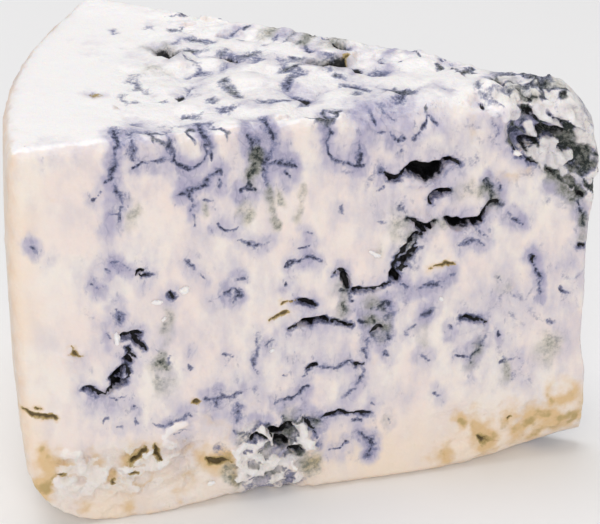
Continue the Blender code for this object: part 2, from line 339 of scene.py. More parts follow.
        (3.0, 0.6, (37.6, 47.6), (39.6, 47.4)),
        (3.6, 0.7, (46.2, 46.2), (48.2, 45.6)),
        (4.0, 0.7, (19.2, 29.0), (18.8, 26.4)),
        (5.0, 0.75, (11.4, 22.8), (14.6, 21.2), (17.4, 21.8)),
        (4.4, 0.5, (13.0, 19.4), (18.0, 19.6)),
        (3.4, 0.5, (10.8, 29.4), (11.6, 27.4)),
        (4.8, 0.6, (24.0, 32.4), (23.4, 29.6)),
        (4.4, 0.6, (23.2, 26.0), (23.6, 23.6)),
        (3.4, 0.5, (24.0, 21.0), (23.6, 18.2)),
        (3.0, 0.5, (27.8, 29.0), (27.6, 26.0)),
        (3.0, 0.5, (33.6, 28.0), (31.6, 23.4)),
        (4.2, 0.6, (38.6, 30.0), (38.0, 25.0), (38.4, 21.0)),
        (4.2, 0.6, (31.0, 20.2), (33.6, 19.0)),
        (5.0, 0.55, (41.2, 28.0), (46.0, 27.0), (50.0, 27.6)),
        (5.0, 0.7, (45.6, 24.4), (46.6, 21.0), (45.0, 18.6)),
        (6.0, 0.7, (50.4, 61.4), (53.6, 60.6)),
        (6.0, 0.6, (59.6, 65.4), (62.4, 63.2)),
        (8.0, 0.9, (57.0, 66.6), (62.5, 66.0)),
        (8.0, 0.55, (58.0, 52.6), (63.4, 51.6)),
        (6.0, 0.5, (61.0, 48.4), (65.0, 49.6)),
        (5.0, 0.6, (66.0, 64.6), (69.0, 64.6)),
        (5.0, 0.7, (78.4, 62.6), (79.0, 59.6)),
        (5.0, 0.6, (77.6, 53.0), (78.8, 51.0)),
        (4.0, 0.6, (64.6, 39.6), (66.6, 42.4)),
        (5.0, 0.55, (72.4, 43.4), (76.6, 43.4)),
        (4.0, 0.5, (82.0, 46.0), (84.0, 45.0)),
        (6.0, 0.7, (86.0, 36.6), (86.6, 31.4)),
        (7.0, 0.7, (92.4, 36.4), (91.4, 31.6)),
        (5.0, 0.5, (89.0, 28.0), (91.0, 23.0), (90.0, 18.0)),
        (6.0, 0.6, (73.6, 26.4), (77.4, 24.4)),
        (5.0, 0.5, (75.4, 21.4), (80.4, 22.0)),
        (6.0, 0.6, (54.8, 21.0), (54.0, 17.6)),
        (5.0, 0.55, (50.0, 22.8), (54.0, 24.4)),
        (6.0, 0.6, (53.6, 33.4), (58.4, 33.8)),
        (5.0, 0.6, (60.0, 29.0), (61.0, 25.4)),
        (4.0, 0.6, (66.6, 30.2), (65.0, 27.6)),
        (4.0, 0.5, (66.0, 22.4), (68.0, 20.4)),
        (4.4, 0.5, (69.8, 35.4), (72.0, 36.0)),
        (4.6, 0.6, (53.6, 12.0), (56.6, 11.4)),
        (5.0, 0.5, (52.0, 6.2), (56.0, 6.6)),
        (6.0, 0.6, (43.0, 13.6), (47.6, 14.0)),
        (5.0, 0.5, (36.6, 6.4), (38.6, 3.6)),
        (5.0, 0.4, (24.4, 13.4), (26.0, 12.0)),
        (4.0, 0.4, (47.0, 35.4), (51.0, 33.6)),
        (8.0, 0.35, (70.0, 59.6), (76.0, 57.0)),
    ),
    "green": (
        (4.0, 1.0, (88.0, 52.8), (91.6, 51.0)),
        (3.6, 0.9, (89.4, 59.6), (91.0, 58.6)),
        (3.6, 0.9, (90.8, 57.0), (93.2, 54.6)),
        (3.0, 0.9, (81.0, 67.6), (84.4, 66.8)),
        (4.0, 0.8, (82.0, 66.6), (85.0, 65.6)),
        (4.0, 0.7, (86.6, 68.4), (89.4, 67.4)),
        (3.0, 0.8, (33.8, 4.8), (34.4, 3.4)),
        (3.0, 0.8, (39.4, 4.2), (41.0, 3.4)),
        (3.0, 0.8, (36.6, 7.0), (37.8, 6.2)),
        (3.4, 0.8, (46.0, 4.8), (47.2, 4.2)),
        (2.6, 0.8, (38.8, 61.4), (38.4, 58.4)),
        (1.8, 0.8, (40.8, 55.0), (41.4, 52.4), (42.2, 50.2)),
        (2.4, 0.7, (36.8, 52.8), (37.6, 52.2)),
        (1.8, 0.7, (42.8, 54.6), (43.0, 53.6)),
        (1.2, 0.5, (46.4, 55.8), (45.6, 50.2)),
        (2.4, 0.6, (19.6, 55.2), (19.3, 53.6)),
        (2.6, 0.6, (24.6, 36.0), (24.2, 33.0)),
        (3.2, 0.8, (22.6, 27.6), (23.4, 24.6)),
        (2.6, 0.7, (41.0, 10.2), (44.6, 9.4)),
        (3.4, 0.6, (44.0, 13.6), (45.0, 12.8)),
        (3.0, 0.6, (36.6, 7.0), (37.6, 5.8)),
        (2.4, 0.6, (39.6, 3.8), (42.0, 3.0)),
        (3.0, 0.7, (46.2, 4.6), (48.6, 4.0)),
        (1.8, 0.7, (34.2, 4.6), (34.8, 2.4)),
        (4.6, 0.6, (62.0, 47.0), (63.6, 44.4)),
        (2.4, 0.7, (69.2, 46.0), (67.8, 45.8)),
        (2.4, 0.6, (72.0, 51.4), (73.6, 52.0)),
        (2.6, 0.7, (75.8, 51.4), (77.6, 49.4)),
        (3.6, 0.7, (58.0, 32.4), (59.2, 29.0)),
        (3.4, 0.6, (52.6, 36.6), (52.4, 33.2)),
        (2.4, 0.5, (79.6, 35.0), (80.6, 33.2)),
        (2.2, 0.6, (81.0, 17.8), (81.2, 16.0)),
        (3.0, 0.6, (87.4, 22.2), (89.6, 21.6)),
        (3.4, 0.5, (87.6, 20.6), (88.2, 18.8)),
        (3.0, 0.5, (75.0, 19.6), (76.4, 23.0)),
        (2.4, 0.5, (66.2, 26.8), (66.6, 25.6)),
        (2.6, 0.5, (60.6, 11.6), (60.8, 10.0)),
        (1.6, 0.6, (58.6, 42.4), (59.0, 44.0)),
        (2.0, 0.6, (47.8, 12.8), (48.6, 11.8)),
        (1.4, 0.6, (31.0, 54.4), (30.8, 53.2)),
        (3.0, 0.6, (93.0, 43.6), (93.4, 41.6)),
        (2.0, 0.6, (38.0, 8.0), (36.8, 6.4)),
    ),
    "gold": (  # soft amber staining
        (3.4, 0.9, (3.4, 13.0), (5.4, 10.0), (2.8, 7.6)),
        (2.4, 0.7, (11.2, 12.2), (12.0, 11.4)),
        (1.8, 0.7, (14.4, 8.2), (13.6, 5.0)),
        (3.0, 0.8, (17.2, 10.4), (19.4, 11.2)),
        (1.8, 0.6, (8.4, 1.8), (9.4, 2.4)),
        (2.2, 0.5, (16.4, 2.4), (16.8, 1.0)),
        (1.8, 0.5, (24.2, 2.2), (25.0, 0.8)),
        (2.6, 0.5, (25.6, 4.4), (27.4, 4.6)),
        (3.0, 0.9, (29.6, 8.6), (31.6, 8.0), (33.6, 7.4)),
        (2.4, 0.8, (73.0, 8.6), (73.8, 8.0)),
        (4.0, 1.0, (76.6, 6.4), (78.4, 4.2)),
        (3.0, 0.8, (81.4, 8.2), (82.4, 8.8)),
        (3.0, 0.8, (69.6, 1.6), (71.4, 2.4)),
        (3.6, 0.9, (89.4, 10.6), (93.0, 10.2)),
        (4.4, 1.0, (86.0, 6.4), (94.6, 7.6)),
        (4.0, 0.8, (84.0, 4.6), (93.0, 5.4)),
        (1.4, 0.8, (81.6, 62.6), (82.0, 60.0)),
        (2.0, 0.8, (82.6, 65.2), (84.2, 64.9)),
        (2.0, 0.8, (90.6, 51.8), (92.4, 50.8)),
        (2.4, 0.6, (46.4, 4.8), (48.2, 4.4)),
        (2.0, 0.7, (33.9, 4.8), (34.3, 3.4)),
        (1.6, 0.4, (73.6, 63.8), (74.0, 61.6)),
        (2.0, 0.5, (84.0, 55.0), (78.0, 52.0)),
        (1.6, 0.6, (88.6, 52.2), (90.6, 51.6)),
        (3.0, 0.4, (31.0, 16.4), (33.4, 14.4)),
    ),
    "chip": (  # flakes of fresh white paste that stand up, with their height in mm
        (1.2, 0.9, (38.9, 12.4), (40.2, 11.5), (41.0, 10.7)),
        (0.9, 0.8, (40.9, 10.4), (40.7, 9.2)),
        (1.6, 0.7, (45.4, 12.4), (46.0, 11.6), (45.6, 10.4)),
        (1.7, 0.7, (45.4, 9.6), (46.6, 8.8), (47.8, 8.6)),
        (1.3, 0.7, (35.4, 9.4), (37.4, 9.6)),
        (1.1, 0.7, (36.9, 7.8), (37.6, 7.5)),
        (1.1, 0.8, (38.1, 7.3), (38.9, 6.6)),
        (1.4, 0.5, (35.2, 4.9), (36.6, 5.3), (38.3, 4.4)),
        (0.9, 0.6, (34.8, 3.8), (35.2, 3.2)),
        (1.6, 0.4, (40.8, 6.4), (42.6, 5.8)),
        (0.8, 0.6, (41.7, 2.2), (42.6, 1.8)),
        (0.7, 0.6, (44.3, 5.4), (44.6, 4.0)),
        (1.5, 0.3, (22.8, 14.0), (24.4, 15.2), (26.2, 16.1)),
        (2.4, 0.3, (23.0, 12.4), (24.4, 11.6)),
        (1.5, 0.5, (22.2, 8.4), (23.2, 8.6)),
        (1.2, 0.5, (19.9, 10.6), (20.8, 11.2)),
        (2.2, 0.3, (7.2, 13.0), (8.8, 13.2)),
        (1.8, 0.3, (9.0, 11.4), (9.6, 9.6)),
        (1.3, 0.4, (16.0, 8.6), (17.0, 8.4)),
        (1.9, 0.3, (5.2, 7.6), (7.4, 8.0)),
        (1.4, 0.6, (34.6, 8.6), (34.9, 6.4)),
        (2.6, 1.5, (86.8, 58.1), (87.6, 57.8)),
        (2.5, 1.2, (88.6, 55.8), (90.6, 55.4)),
        (1.6, 0.5, (85.4, 56.4), (86.4, 55.6)),
        (1.5, 0.4, (84.6, 63.8), (86.4, 62.6), (88.8, 60.8)),
        (1.2, 0.6, (85.4, 65.0), (87.5, 63.8), (89.4, 61.9)),
        (4.4, 0.5, (91.4, 63.8), (92.0, 61.0), (92.8, 58.6)),
        (3.4, 0.4, (94.2, 63.5), (95.4, 60.5), (95.4, 57.6)),
        (0.9, 0.8, (87.8, 66.1), (90.8, 65.5)),
        (2.4, 0.8, (83.4, 68.4), (84.8, 67.2)),
        (1.6, 0.4, (83.8, 61.4), (84.2, 60.0)),
        (2.8, 0.7, (76.0, 66.6), (79.0, 65.0), (80.8, 63.6)),
        (0.6, 0.7, (80.6, 57.4), (81.6, 57.2)),
        (1.2, 0.6, (93.4, 51.4), (94.2, 51.0)),
    ),
    "lip": (  # pale paste pushed up beside a split
        (1.8, 0.9, (63.0, 54.6), (65.0, 54.4), (67.6, 54.8)),
        (1.4, 0.7, (8.2, 31.2), (9.2, 30.4)),
        (1.0, 0.7, (15.9, 34.6), (16.1, 32.6)),
        (1.3, 0.6, (16.4, 26.6), (16.6, 27.0)),
        (1.8, 0.7, (22.8, 14.6), (24.6, 15.6), (26.6, 16.2)),
        (1.6, 0.6, (72.6, 44.2), (74.4, 43.8)),
        (1.4, 0.6, (74.6, 27.2), (77.0, 26.2)),
        (1.8, 0.6, (46.8, 8.8), (48.2, 8.0)),
        (1.6, 0.6, (39.4, 12.0), (40.2, 11.2)),
        (1.2, 0.5, (28.2, 18.4), (29.4, 18.2)),
        (1.3, 0.5, (80.6, 57.4), (81.8, 57.0)),
        (1.4, 0.6, (36.4, 3.8), (38.0, 4.8)),
        (1.5, 0.6, (64.4, 48.6), (66.0, 47.8)),
        (1.2, 0.5, (46.6, 33.2), (48.6, 33.0)),
    ),
}

# Marks on the top, each as (width mm, amount, (x, y) mm, ...), in the wedge's own axes.
TOP_MARKS = {
    "split": (
        (3.0, 1.8, (-23.6, 10.6), (-22.2, 8.6), (-21.6, 7.0)),
        (1.5, 2.2, (-21.0, 9.4), (-21.3, 6.2)),
        (2.6, 1.8, (-12.8, 7.6), (-11.2, 7.2)),
        (1.2, 2.0, (-11.4, 8.2), (-10.6, 6.0)),
        (4.0, 3.0, (2.6, 6.2), (5.2, 6.2)),
        (2.8, 3.0, (5.8, 8.0), (6.6, 6.0)),
        (1.3, 2.2, (4.8, 14.6), (5.5, 13.2), (6.9, 11.9)),
        (1.6, 1.8, (29.4, -5.0), (29.8, -6.0)),
        (2.0, 2.0, (31.2, 0.8), (32.6, -0.8)),
        (1.8, 2.0, (35.8, -1.6), (36.8, -3.0)),
        (2.0, 2.0, (40.6, -1.4), (41.8, -3.6)),
        (1.0, 1.6, (-31.8, -9.0), (-31.0, -9.4)),
        (0.9, 1.4, (-17.0, -7.2), (-17.8, -8.6)),
        (0.9, 1.4, (9.0, 4.4), (9.8, 3.2)),
        (0.8, 1.2, (0.8, 11.6), (1.4, 10.8)),
        (0.8, 1.2, (1.0, -8.2), (1.9, -9.1)),
    ),
    "gilt": (
        (1.2, 1.0, (-31.8, -8.8), (-31.0, -9.2)),
        (1.0, 0.6, (1.2, 6.6), (2.0, 6.0)),
        (0.8, 0.5, (7.0, 9.0), (7.2, 7.6)),
    ),
    "vein": (
        (2.2, 0.7, (-25.0, 12.0), (-23.6, 10.0), (-22.2, 8.2)),
        (1.2, 0.6, (-20.7, 16.4), (-21.0, 14.0), (-21.6, 12.0)),
        (1.6, 0.8, (-11.8, 8.8), (-11.0, 6.6), (-10.3, 5.0)),
        (1.6, 0.7, (-8.8, 8.0), (-7.6, 6.6), (-6.2, 7.4)),
        (1.0, 0.7, (-4.5, 8.8), (-3.5, 7.0), (-2.8, 5.0)),
        (1.0, 0.8, (0.2, 14.0), (0.6, 12.6), (1.2, 11.0)),
        (1.0, 0.7, (-0.8, 15.4), (0.2, 14.0)),
        (1.4, 0.8, (8.4, 5.4), (9.6, 3.2)),
        (1.3, 0.8, (13.2, 7.2), (14.2, 5.6), (14.0, 3.8), (13.4, 1.8)),
        (1.2, 0.7, (11.8, 5.0), (12.6, 3.6)),
        (2.0, 0.6, (6.0, 3.4), (6.6, 1.2), (7.6, -0.4)),
        (1.2, 0.9, (-1.3, -1.2), (-0.8, -3.5), (-0.3, -6.0), (0.6, -7.6), (1.9, -9.0)),
        (1.0, 0.7, (1.9, -9.0), (3.4, -7.2), (4.0, -5.4), (3.6, -3.2)),
        (1.1, 0.8, (-15.7, -4.4), (-16.6, -6.0), (-17.6, -8.2)),
        (0.9, 0.7, (-18.2, -1.8), (-17.0, 0.0), (-16.2, 2.4)),
        (0.9, 0.7, (-16.0, 1.0), (-15.0, -0.6), (-13.6, 0.6), (-12.6, 2.4), (-12.0, 4.2)),
        (1.1, 0.7, (-13.6, 16.4), (-12.0, 18.4), (-10.0, 19.8)),
        (1.0, 0.6, (-17.6, 9.4), (-16.4, 8.2), (-15.6, 7.2)),
        (1.0, 0.6, (-16.8, 14.6), (-15.0, 13.8)),
        (1.1, 0.8, (9.6, -2.0), (10.4, -3.4), (11.8, -4.8)),
        (0.9, 0.6, (12.8, -2.6), (15.5, -2.4), (17.5, -3.2)),
        (1.1, 0.8, (17.0, -3.8), (17.4, -6.0), (16.0, -9.0)),
        (1.1, 0.8, (19.3, -3.9), (20.6, -2.1), (22.5, -2.0), (24.3, -3.2)),
        (1.0, 0.7, (17.3, 11.2), (18.4, 10.5)),
        (1.1, 0.7, (22.6, 8.8), (24.8, 7.6)),
        (0.9, 0.7, (-5.4, -9.0), (-4.6, -10.8), (-2.4, -9.8), (-0.8, -9.2)),
        (0.9, 0.7, (-11.6, -12.6), (-10.6, -13.9)),
        (0.9, 0.6, (-7.6, -11.2), (-5.6, -11.8)),
        (1.4, 0.7, (-24.2, -19.0), (-22.0, -19.6), (-21.0, -21.6), (-20.4, -23.0)),
        (1.0, 0.6, (-12.2, -17.6), (-11.4, -19.4)),
        (1.8, 0.8, (30.6, 2.0), (31.4, 0.6), (32.8, -0.8)),
        (1.6, 0.8, (33.6, 0.4), (34.8, 1.4), (36.6, 0.2)),
        (2.4, 0.9, (40.0, 0.2), (41.4, -2.2), (42.2, -4.2)),
        (1.6, 0.8, (30.4, -3.6), (31.8, -6.0), (33.4, -8.0)),
        (1.0, 0.6, (2.2, 17.2), (4.6, 14.8)),
        (0.9, 0.5, (-27.0, 20.4), (-26.4, 19.8)),
        (0.8, 0.5, (-32.8, 17.4), (-32.4, 15.8)),
        (0.9, 0.5, (-1.4, 1.2), (0.0, 2.2), (1.0, 1.0)),
    ),
    "haze": (
        (6.0, 0.35, (-35.0, 12.0), (-33.0, 7.0)),
        (6.0, 0.4, (-27.0, 8.0), (-24.0, 4.0)),
        (6.0, 0.45, (-20.0, 13.0), (-20.0, 9.0)),
        (5.0, 0.4, (-17.0, 1.0), (-13.0, 2.0)),
        (6.0, 0.5, (-9.0, 7.0), (-3.0, 7.0)),
        (6.0, 0.5, (0.0, -4.0), (2.6, -5.0)),
        (5.0, 0.5, (6.0, 2.0), (13.0, 4.0)),
        (6.0, 0.4, (14.0, -5.0), (17.0, -8.0)),
        (6.0, 0.5, (-6.0, -9.5), (-1.0, -10.5)),
        (5.0, 0.4, (-24.0, -18.0), (-20.0, -21.0)),
        (8.0, 0.9, (11.0, -10.0), (16.5, -11.0)),
        (8.0, 0.4, (30.0, -4.0), (34.0, -4.0)),
        (5.0, 0.4, (22.0, 3.0), (26.0, 4.6)),
    ),
    "green": (
        (5.0, 0.8, (-24.0, 10.8), (-21.8, 8.0)),
        (4.0, 0.5, (-24.0, 2.0), (-21.6, 1.0)),
        (5.0, 0.7, (3.6, 6.6), (6.0, 6.8)),
        (4.0, 0.7, (32.0, 1.6), (34.6, 0.6), (36.8, -1.8)),
        (5.0, 0.8, (39.6, 1.6), (42.0, -2.6)),
        (3.0, 0.6, (37.4, -5.6), (38.0, -7.4)),
    ),
    "gold": (
        (3.0, 0.5, (-28.0, 10.6), (-26.0, 9.6)),
        (4.0, 0.5, (-14.4, 8.0), (-12.8, 6.8)),
        (3.0, 0.5, (6.8, 10.2), (7.2, 8.6)),
        (2.6, 0.6, (-32.4, -8.8), (-31.0, -9.6)),
        (2.4, 0.4, (36.0, 3.4), (37.6, 2.8)),
        (2.4, 0.4, (20.0, 1.8), (22.0, 1.6)),
    ),
    "chip": (
        (1.6, 0.8, (29.0, -1.6), (31.0, -2.6)),
        (2.0, 0.8, (34.0, -2.4), (35.2, -4.4)),
        (1.8, 0.7, (38.4, 0.4), (39.0, -2.0)),
        (1.2, 0.6, (-24.6, 7.0), (-23.0, 5.8)),
    ),
    "lip": (
        (1.8, 0.7, (-20.4, 5.4), (-19.0, 7.6)),
        (1.8, 0.6, (-14.4, 5.4), (-11.6, 4.8)),
        (2.4, 0.6, (1.0, 3.2), (4.0, 2.8), (7.4, 3.8)),
        (1.8, 0.5, (-9.0, 4.4), (-5.6, 4.6)),
    ),
}

# Loose crumbs stuck to the front cut, in mm and degrees.
# Each is (along from the rind, height, length, width, thickness, turn).
CRUMBS = (
    (27.0, 40.4, 1.5, 1.1, 0.9, 20),
    (22.7, 38.9, 1.7, 0.9, 0.7, -10),
    (23.6, 35.6, 0.9, 0.7, 0.6, 35),
    (16.0, 33.6, 2.4, 0.9, 0.8, 88),
    (58.0, 42.6, 2.0, 0.7, 0.9, -28),
    (41.0, 27.4, 0.8, 0.6, 0.5, 15),
    (69.4, 32.8, 1.0, 0.6, 0.5, -30),
    (30.4, 3.6, 1.2, 0.8, 0.7, 10),
)


def hex_colour(code):
    """An sRGB hex colour as linear RGBA."""
    shares = (int(code[i : i + 2], 16) / 255 for i in (1, 3, 5))
    return (*(s / 12.92 if s <= 0.04045 else ((s + 0.055) / 1.055) ** 2.4 for s in shares), 1.0)


# ---------------------------------------------------------------- fields over the surface


def smoothstep(low, high, x):
    t = np.clip((x - low) / (high - low), 0, 1)
    return t * t * (3 - 2 * t)


class Lattice:
    """Seeded random values on a whole-number lattice, for gradient and cell noise."""

    def __init__(self, seed):
        rng = np.random.default_rng(seed)
        self.order = rng.permutation(1024)
        direction = rng.normal(size=(1024, 3))
        self.direction = direction / np.linalg.norm(direction, axis=1, keepdims=True)
        self.place = rng.random((1024, 3))

    def index(self, cell):
        x, y, z = (cell[..., i] & 1023 for i in range(3))
        return self.order[(self.order[(self.order[x] + y) & 1023] + z) & 1023]


LATTICE = Lattice(7)


def billow(points, size, shift=0.0):
    """Smooth gradient noise, about -1 to 1, with features of the given size."""
    q = points / size + shift
    cell = np.floor(q).astype(np.int64)
    f = q - cell
    ease = f * f * f * (f * (f * 6 - 15) + 10)
    total = np.zeros(len(q))
    for corner in np.ndindex(2, 2, 2):
        offset = np.array(corner)
        slope = LATTICE.direction[LATTICE.index(cell + offset)]
        weight = np.prod(np.where(offset, ease, 1 - ease), axis=1)
        total += weight * np.einsum("ij,ij->i", slope, f - offset)
    return total * 1.6


def flakes(points, size, shift=0.0):
    """Cell noise for torn paste.

    Gives how high each leaning flake stands, the distance to its border, and its own share from 0 to 1.
    """
    q = points / size + shift
    cell = np.floor(q).astype(np.int64)
    near = np.full(len(q), 9.0)
    next_near = np.full(len(q), 9.0)
    lean = np.zeros(len(q))
    own = np.zeros(len(q))
    for step in np.ndindex(3, 3, 3):
        neighbour = cell + np.array(step) - 1
        index = LATTICE.index(neighbour)
        offset = q - neighbour - LATTICE.place[index]
        distance = np.linalg.norm(offset, axis=1)
        closer = distance < near
        next_near = np.where(closer, near, np.minimum(next_near, distance))
        near = np.where(closer, distance, near)
        lean = np.where(closer, np.einsum("ij,ij->i", LATTICE.direction[index], offset), lean)
        own = np.where(closer, LATTICE.place[index][:, 1], own)
    return own - 0.5 + 0.9 * lean, (next_near - near) * size / 2, own


# How torn paste flakes in each zone.
# Each is (slant in degrees, length, thickness and relief in mm, the share of freshly broken flakes).
TORN = {
    "heel": (16, 3.4, 1.6, 0.95, 0.45),
    "pocket": (36, 2.6, 1.3, 1.0, 0.3),
    "tip": (-36, 4.6, 2.0, 1.5, 0.34),
}


def torn_flakes(flat, zone):
    """Flakes drawn out along their zone's slant.

    Gives how high each point stands and its distance to a border, both in mm, and its flake's own share.
    """
    slant, length, thickness, relief, _ = TORN[zone]
    c, s = math.cos(math.radians(slant)), math.sin(math.radians(slant))
    drawn = np.column_stack([flat @ (c, s) / length, flat @ (-s, c) / thickness, np.zeros(len(flat))])
    face, border, own = flakes(drawn, 1.0, slant)
    return relief * face, border * thickness, own


def distance_to_line(flat, line, reach):
    """Measures flat points against a bent line.

    Gives the distance in mm, or FAR beyond the reach, and a share that tapers towards the line's ends.
    """
    distance = np.full(len(flat), FAR)
    line = [np.array(point, float) for point in line]
    for a, b in zip(line[:-1], line[1:]):
        low, high = np.minimum(a, b) - reach, np.maximum(a, b) + reach
        close = np.flatnonzero(((flat > low) & (flat < high)).all(axis=1))
        if not len(close):
            continue
        run = b - a
        along = np.clip((flat[close] - a) @ run / max(run @ run, 1e-9), 0, 1)
        gap = np.linalg.norm(flat[close] - a - along[:, None] * run, axis=1)
        distance[close] = np.minimum(distance[close], gap)
    taper = np.ones(len(flat))
    close = np.flatnonzero(distance < FAR)
    for end in (line[0], line[-1]):
        from_end = np.linalg.norm(flat[close] - end, axis=1)
        taper[close] = np.minimum(taper[close], END_SHARE + from_end / TAPER_LENGTH)
    return distance, taper


KINDS = ("vein", "haze", "green", "gold", "gilt", "hollow", "white")


def read_marks(flat, marks, weight, patchy, girth, smear):
    """Turns a list of marks into fields at flat points.

    The fields are the colouring kinds, how deep the surface sinks and how far it lifts, in mm. The knife
    drags mould up and down a cut, so a haze reaches further that way, by the smear.
    """
    every = len(flat)
    near = np.flatnonzero(weight > 0)
    flat, weight, patchy, girth = flat[near], weight[near], patchy[near], girth[near]
    field = {kind: np.zeros(len(flat)) for kind in (*KINDS, "sink", "lift")}
    squeeze = np.array([1.0, 1 / smear])
    dragged = flat * squeeze

    def paint(kind, value):
        field[kind] = np.maximum(field[kind], value)

    def drag(line, reach):
        return distance_to_line(dragged, [point * squeeze for point in np.array(line)], reach)[0]

    for width, depth, *line in marks["split"]:
        d, taper = distance_to_line(flat, line, width + 3)
        w = width * taper * (0.55 + 0.45 * girth)
        # Painted shade: near black deep inside the split, where its own shadow falls.
        paint("hollow", 1 - smoothstep(w * 0.3, w * 0.58, d))
        paint("vein", np.clip(1.05 - d / (w * 0.5 + 0.7), 0, 1) * patchy)
        clear = np.maximum(drag(line, width + 4) - w / 2, 0)
        paint("haze", 0.7 * np.exp(-((clear / 1.7) ** 2)))
        paint("sink", depth * (1 - smoothstep(w * 0.25, w * 0.52, d)))
    for width, depth, *line in marks["gilt"]:
        d, taper = distance_to_line(flat, line, width + 3)
        w = 0.75 * width * taper * girth
        paint("gilt", np.clip(1.2 - d / w, 0, 1))
        paint("gold", 0.5 * np.exp(-((np.maximum(d - w / 2, 0) / 0.6) ** 2)))
        paint("sink", depth * (1 - smoothstep(w * 0.15, w * 0.7, d)))
    for width, strength, *line in marks["vein"]:
        d, taper = distance_to_line(flat, line, width + 3)
        w = width * taper * girth
        paint("vein", 0.75 * strength * np.clip(1.1 - d / (w * 0.8), 0, 1) * patchy)
        paint("vein", 1.2 * strength * (1 - smoothstep(0.05, 0.45, d)) * np.clip(patchy, 0, 1))
        clear = np.maximum(drag(line, width + 5) - w / 2, 0)
        paint("haze", 0.9 * strength * np.exp(-((clear / 1.25) ** 2)))
        paint("sink", 0.25 * strength * (1 - smoothstep(0, width, d)))
    for width, strength, *line in marks["haze"]:
        paint("haze", strength * np.exp(-((drag(line, width * 1.6) / (width * 0.58)) ** 2)))
    for kind in ("green", "gold"):
        for width, strength, *line in marks[kind]:
            uneven = strength * np.clip(0.3 + 0.75 * patchy, 0, 1.1)
            paint(kind, uneven * np.exp(-((drag(line, width * 1.6) / (width * 0.6)) ** 2)))
    for width, height, *line in marks["lip"]:
        d, _ = distance_to_line(flat, line, width * 1.6)
        paint("lift", height * np.exp(-((d / (width * 0.5)) ** 2)))
    for width, height, *line in marks["chip"]:
        d, taper = distance_to_line(flat, line, width * 1.2)
        w = width * np.clip(0.35 + 0.65 * patchy * girth, 0.3, 1.3)
        cover = 1 - smoothstep(w * 0.38, w * 0.54, d)
        paint("white", cover * min(1.0, 0.25 + height))
        paint("lift", height * cover)
    under_chips = 1 - 0.95 * field["white"]
    for kind in ("vein", "haze", "green", "gold", "gilt", "hollow", "sink"):
        field[kind] *= under_chips
    spread = {kind: np.zeros(every) for kind in field}
    for kind, values in field.items():
        spread[kind][near] = values * weight
    return spread


def tearing(flat, inside):
    """Where a cut's low edge has torn into flakes.

    Gives the heel with the amber foot, then the pocket beside the heel, then how mouldy that pocket is.
    """
    level = np.column_stack([flat, np.zeros(len(flat))])
    along = flat[:, 0] + 1.6 * billow(level, 6.0, 31.0)
    height = flat[:, 1] + 1.6 * billow(level, 5.0, 37.0)
    at_surface = 1 - smoothstep(2.5, 6.5, inside)
    low = (1 - smoothstep(12, 15, height)) * at_surface
    heel = smoothstep(3, 6, along) * (1 - smoothstep(26, 32, along)) * low
    heel *= 0.3 + 0.7 * smoothstep(2, 6, height)
    slant = along + 3.0 * billow(level, 3.0, 39.0)
    pocket = smoothstep(31, 37, slant) * (1 - smoothstep(44, 51, slant)) * low
    amber = 0.3 * smoothstep(66, 72, along) * (1 - smoothstep(10, 13, height)) * at_surface
    mouldy = pocket * (0.45 + 0.4 * smoothstep(6, 9, height))
    return np.maximum(heel, amber), pocket, mouldy


class Wedge:
    """The wedge's own measures in mm, and where surface points lie against its faces."""

    def __init__(self, sizes):
        self.radius = sizes.drum_radius / MM
        self.half_angle = sizes.wedge_angle / 2
        self.height = sizes.height / MM
        self.bulge = sizes.heel_bulge / MM
        self.axis_x = LOWEST.x / MM + self.radius
        self.foot = LOWEST.z / MM
        self.tip_radius = (self.axis_x - HIGHEST.x / MM) / math.cos(self.half_angle)

    def cut_normal(self, side):
        """Which way a cut faces: the front with side -1, the back with side 1."""
        return np.array([math.sin(self.half_angle), side * math.cos(self.half_angle), 0.0])

    def on_cut(self, points, side):
        """Each point's (along from the rind, height) on a cut, and how far inside that cut it lies."""
        from_axis = points - np.array([self.axis_x, 0.0, self.foot])
        to_rind = np.array([-math.cos(self.half_angle), side * math.sin(self.half_angle), 0.0])
        flat = np.stack([self.radius - from_axis @ to_rind, from_axis[:, 2] - WORN_FOOT], axis=1)
        return flat, -(from_axis @ self.cut_normal(side))

    def off_rind(self, points):
        """How far inside the rind each point lies, and the rind's outward direction there."""
        from_axis = points - np.array([self.axis_x, 0.0, 0.0])
        from_axis[:, 2] = 0
        r = np.linalg.norm(from_axis, axis=1)
        middle = (points[:, 2] - self.foot - self.height / 2) / (self.height / 2)
        surface = self.radius - self.bulge * middle**2
        return surface - r, from_axis / np.maximum(r, 1e-6)[:, None]

    def thickness(self, points):
        """How thick the wedge is across itself at each point."""
        r = np.hypot(points[:, 0] - self.axis_x, points[:, 1])
        return 2 * r * math.sin(self.half_angle)


def spread_from(points, size, amount, shift):
    """A small sideways shift of each point, which makes ruled marks run ragged."""
    return amount * np.stack([billow(points, size, shift + 10 * i) for i in range(3)], axis=1)


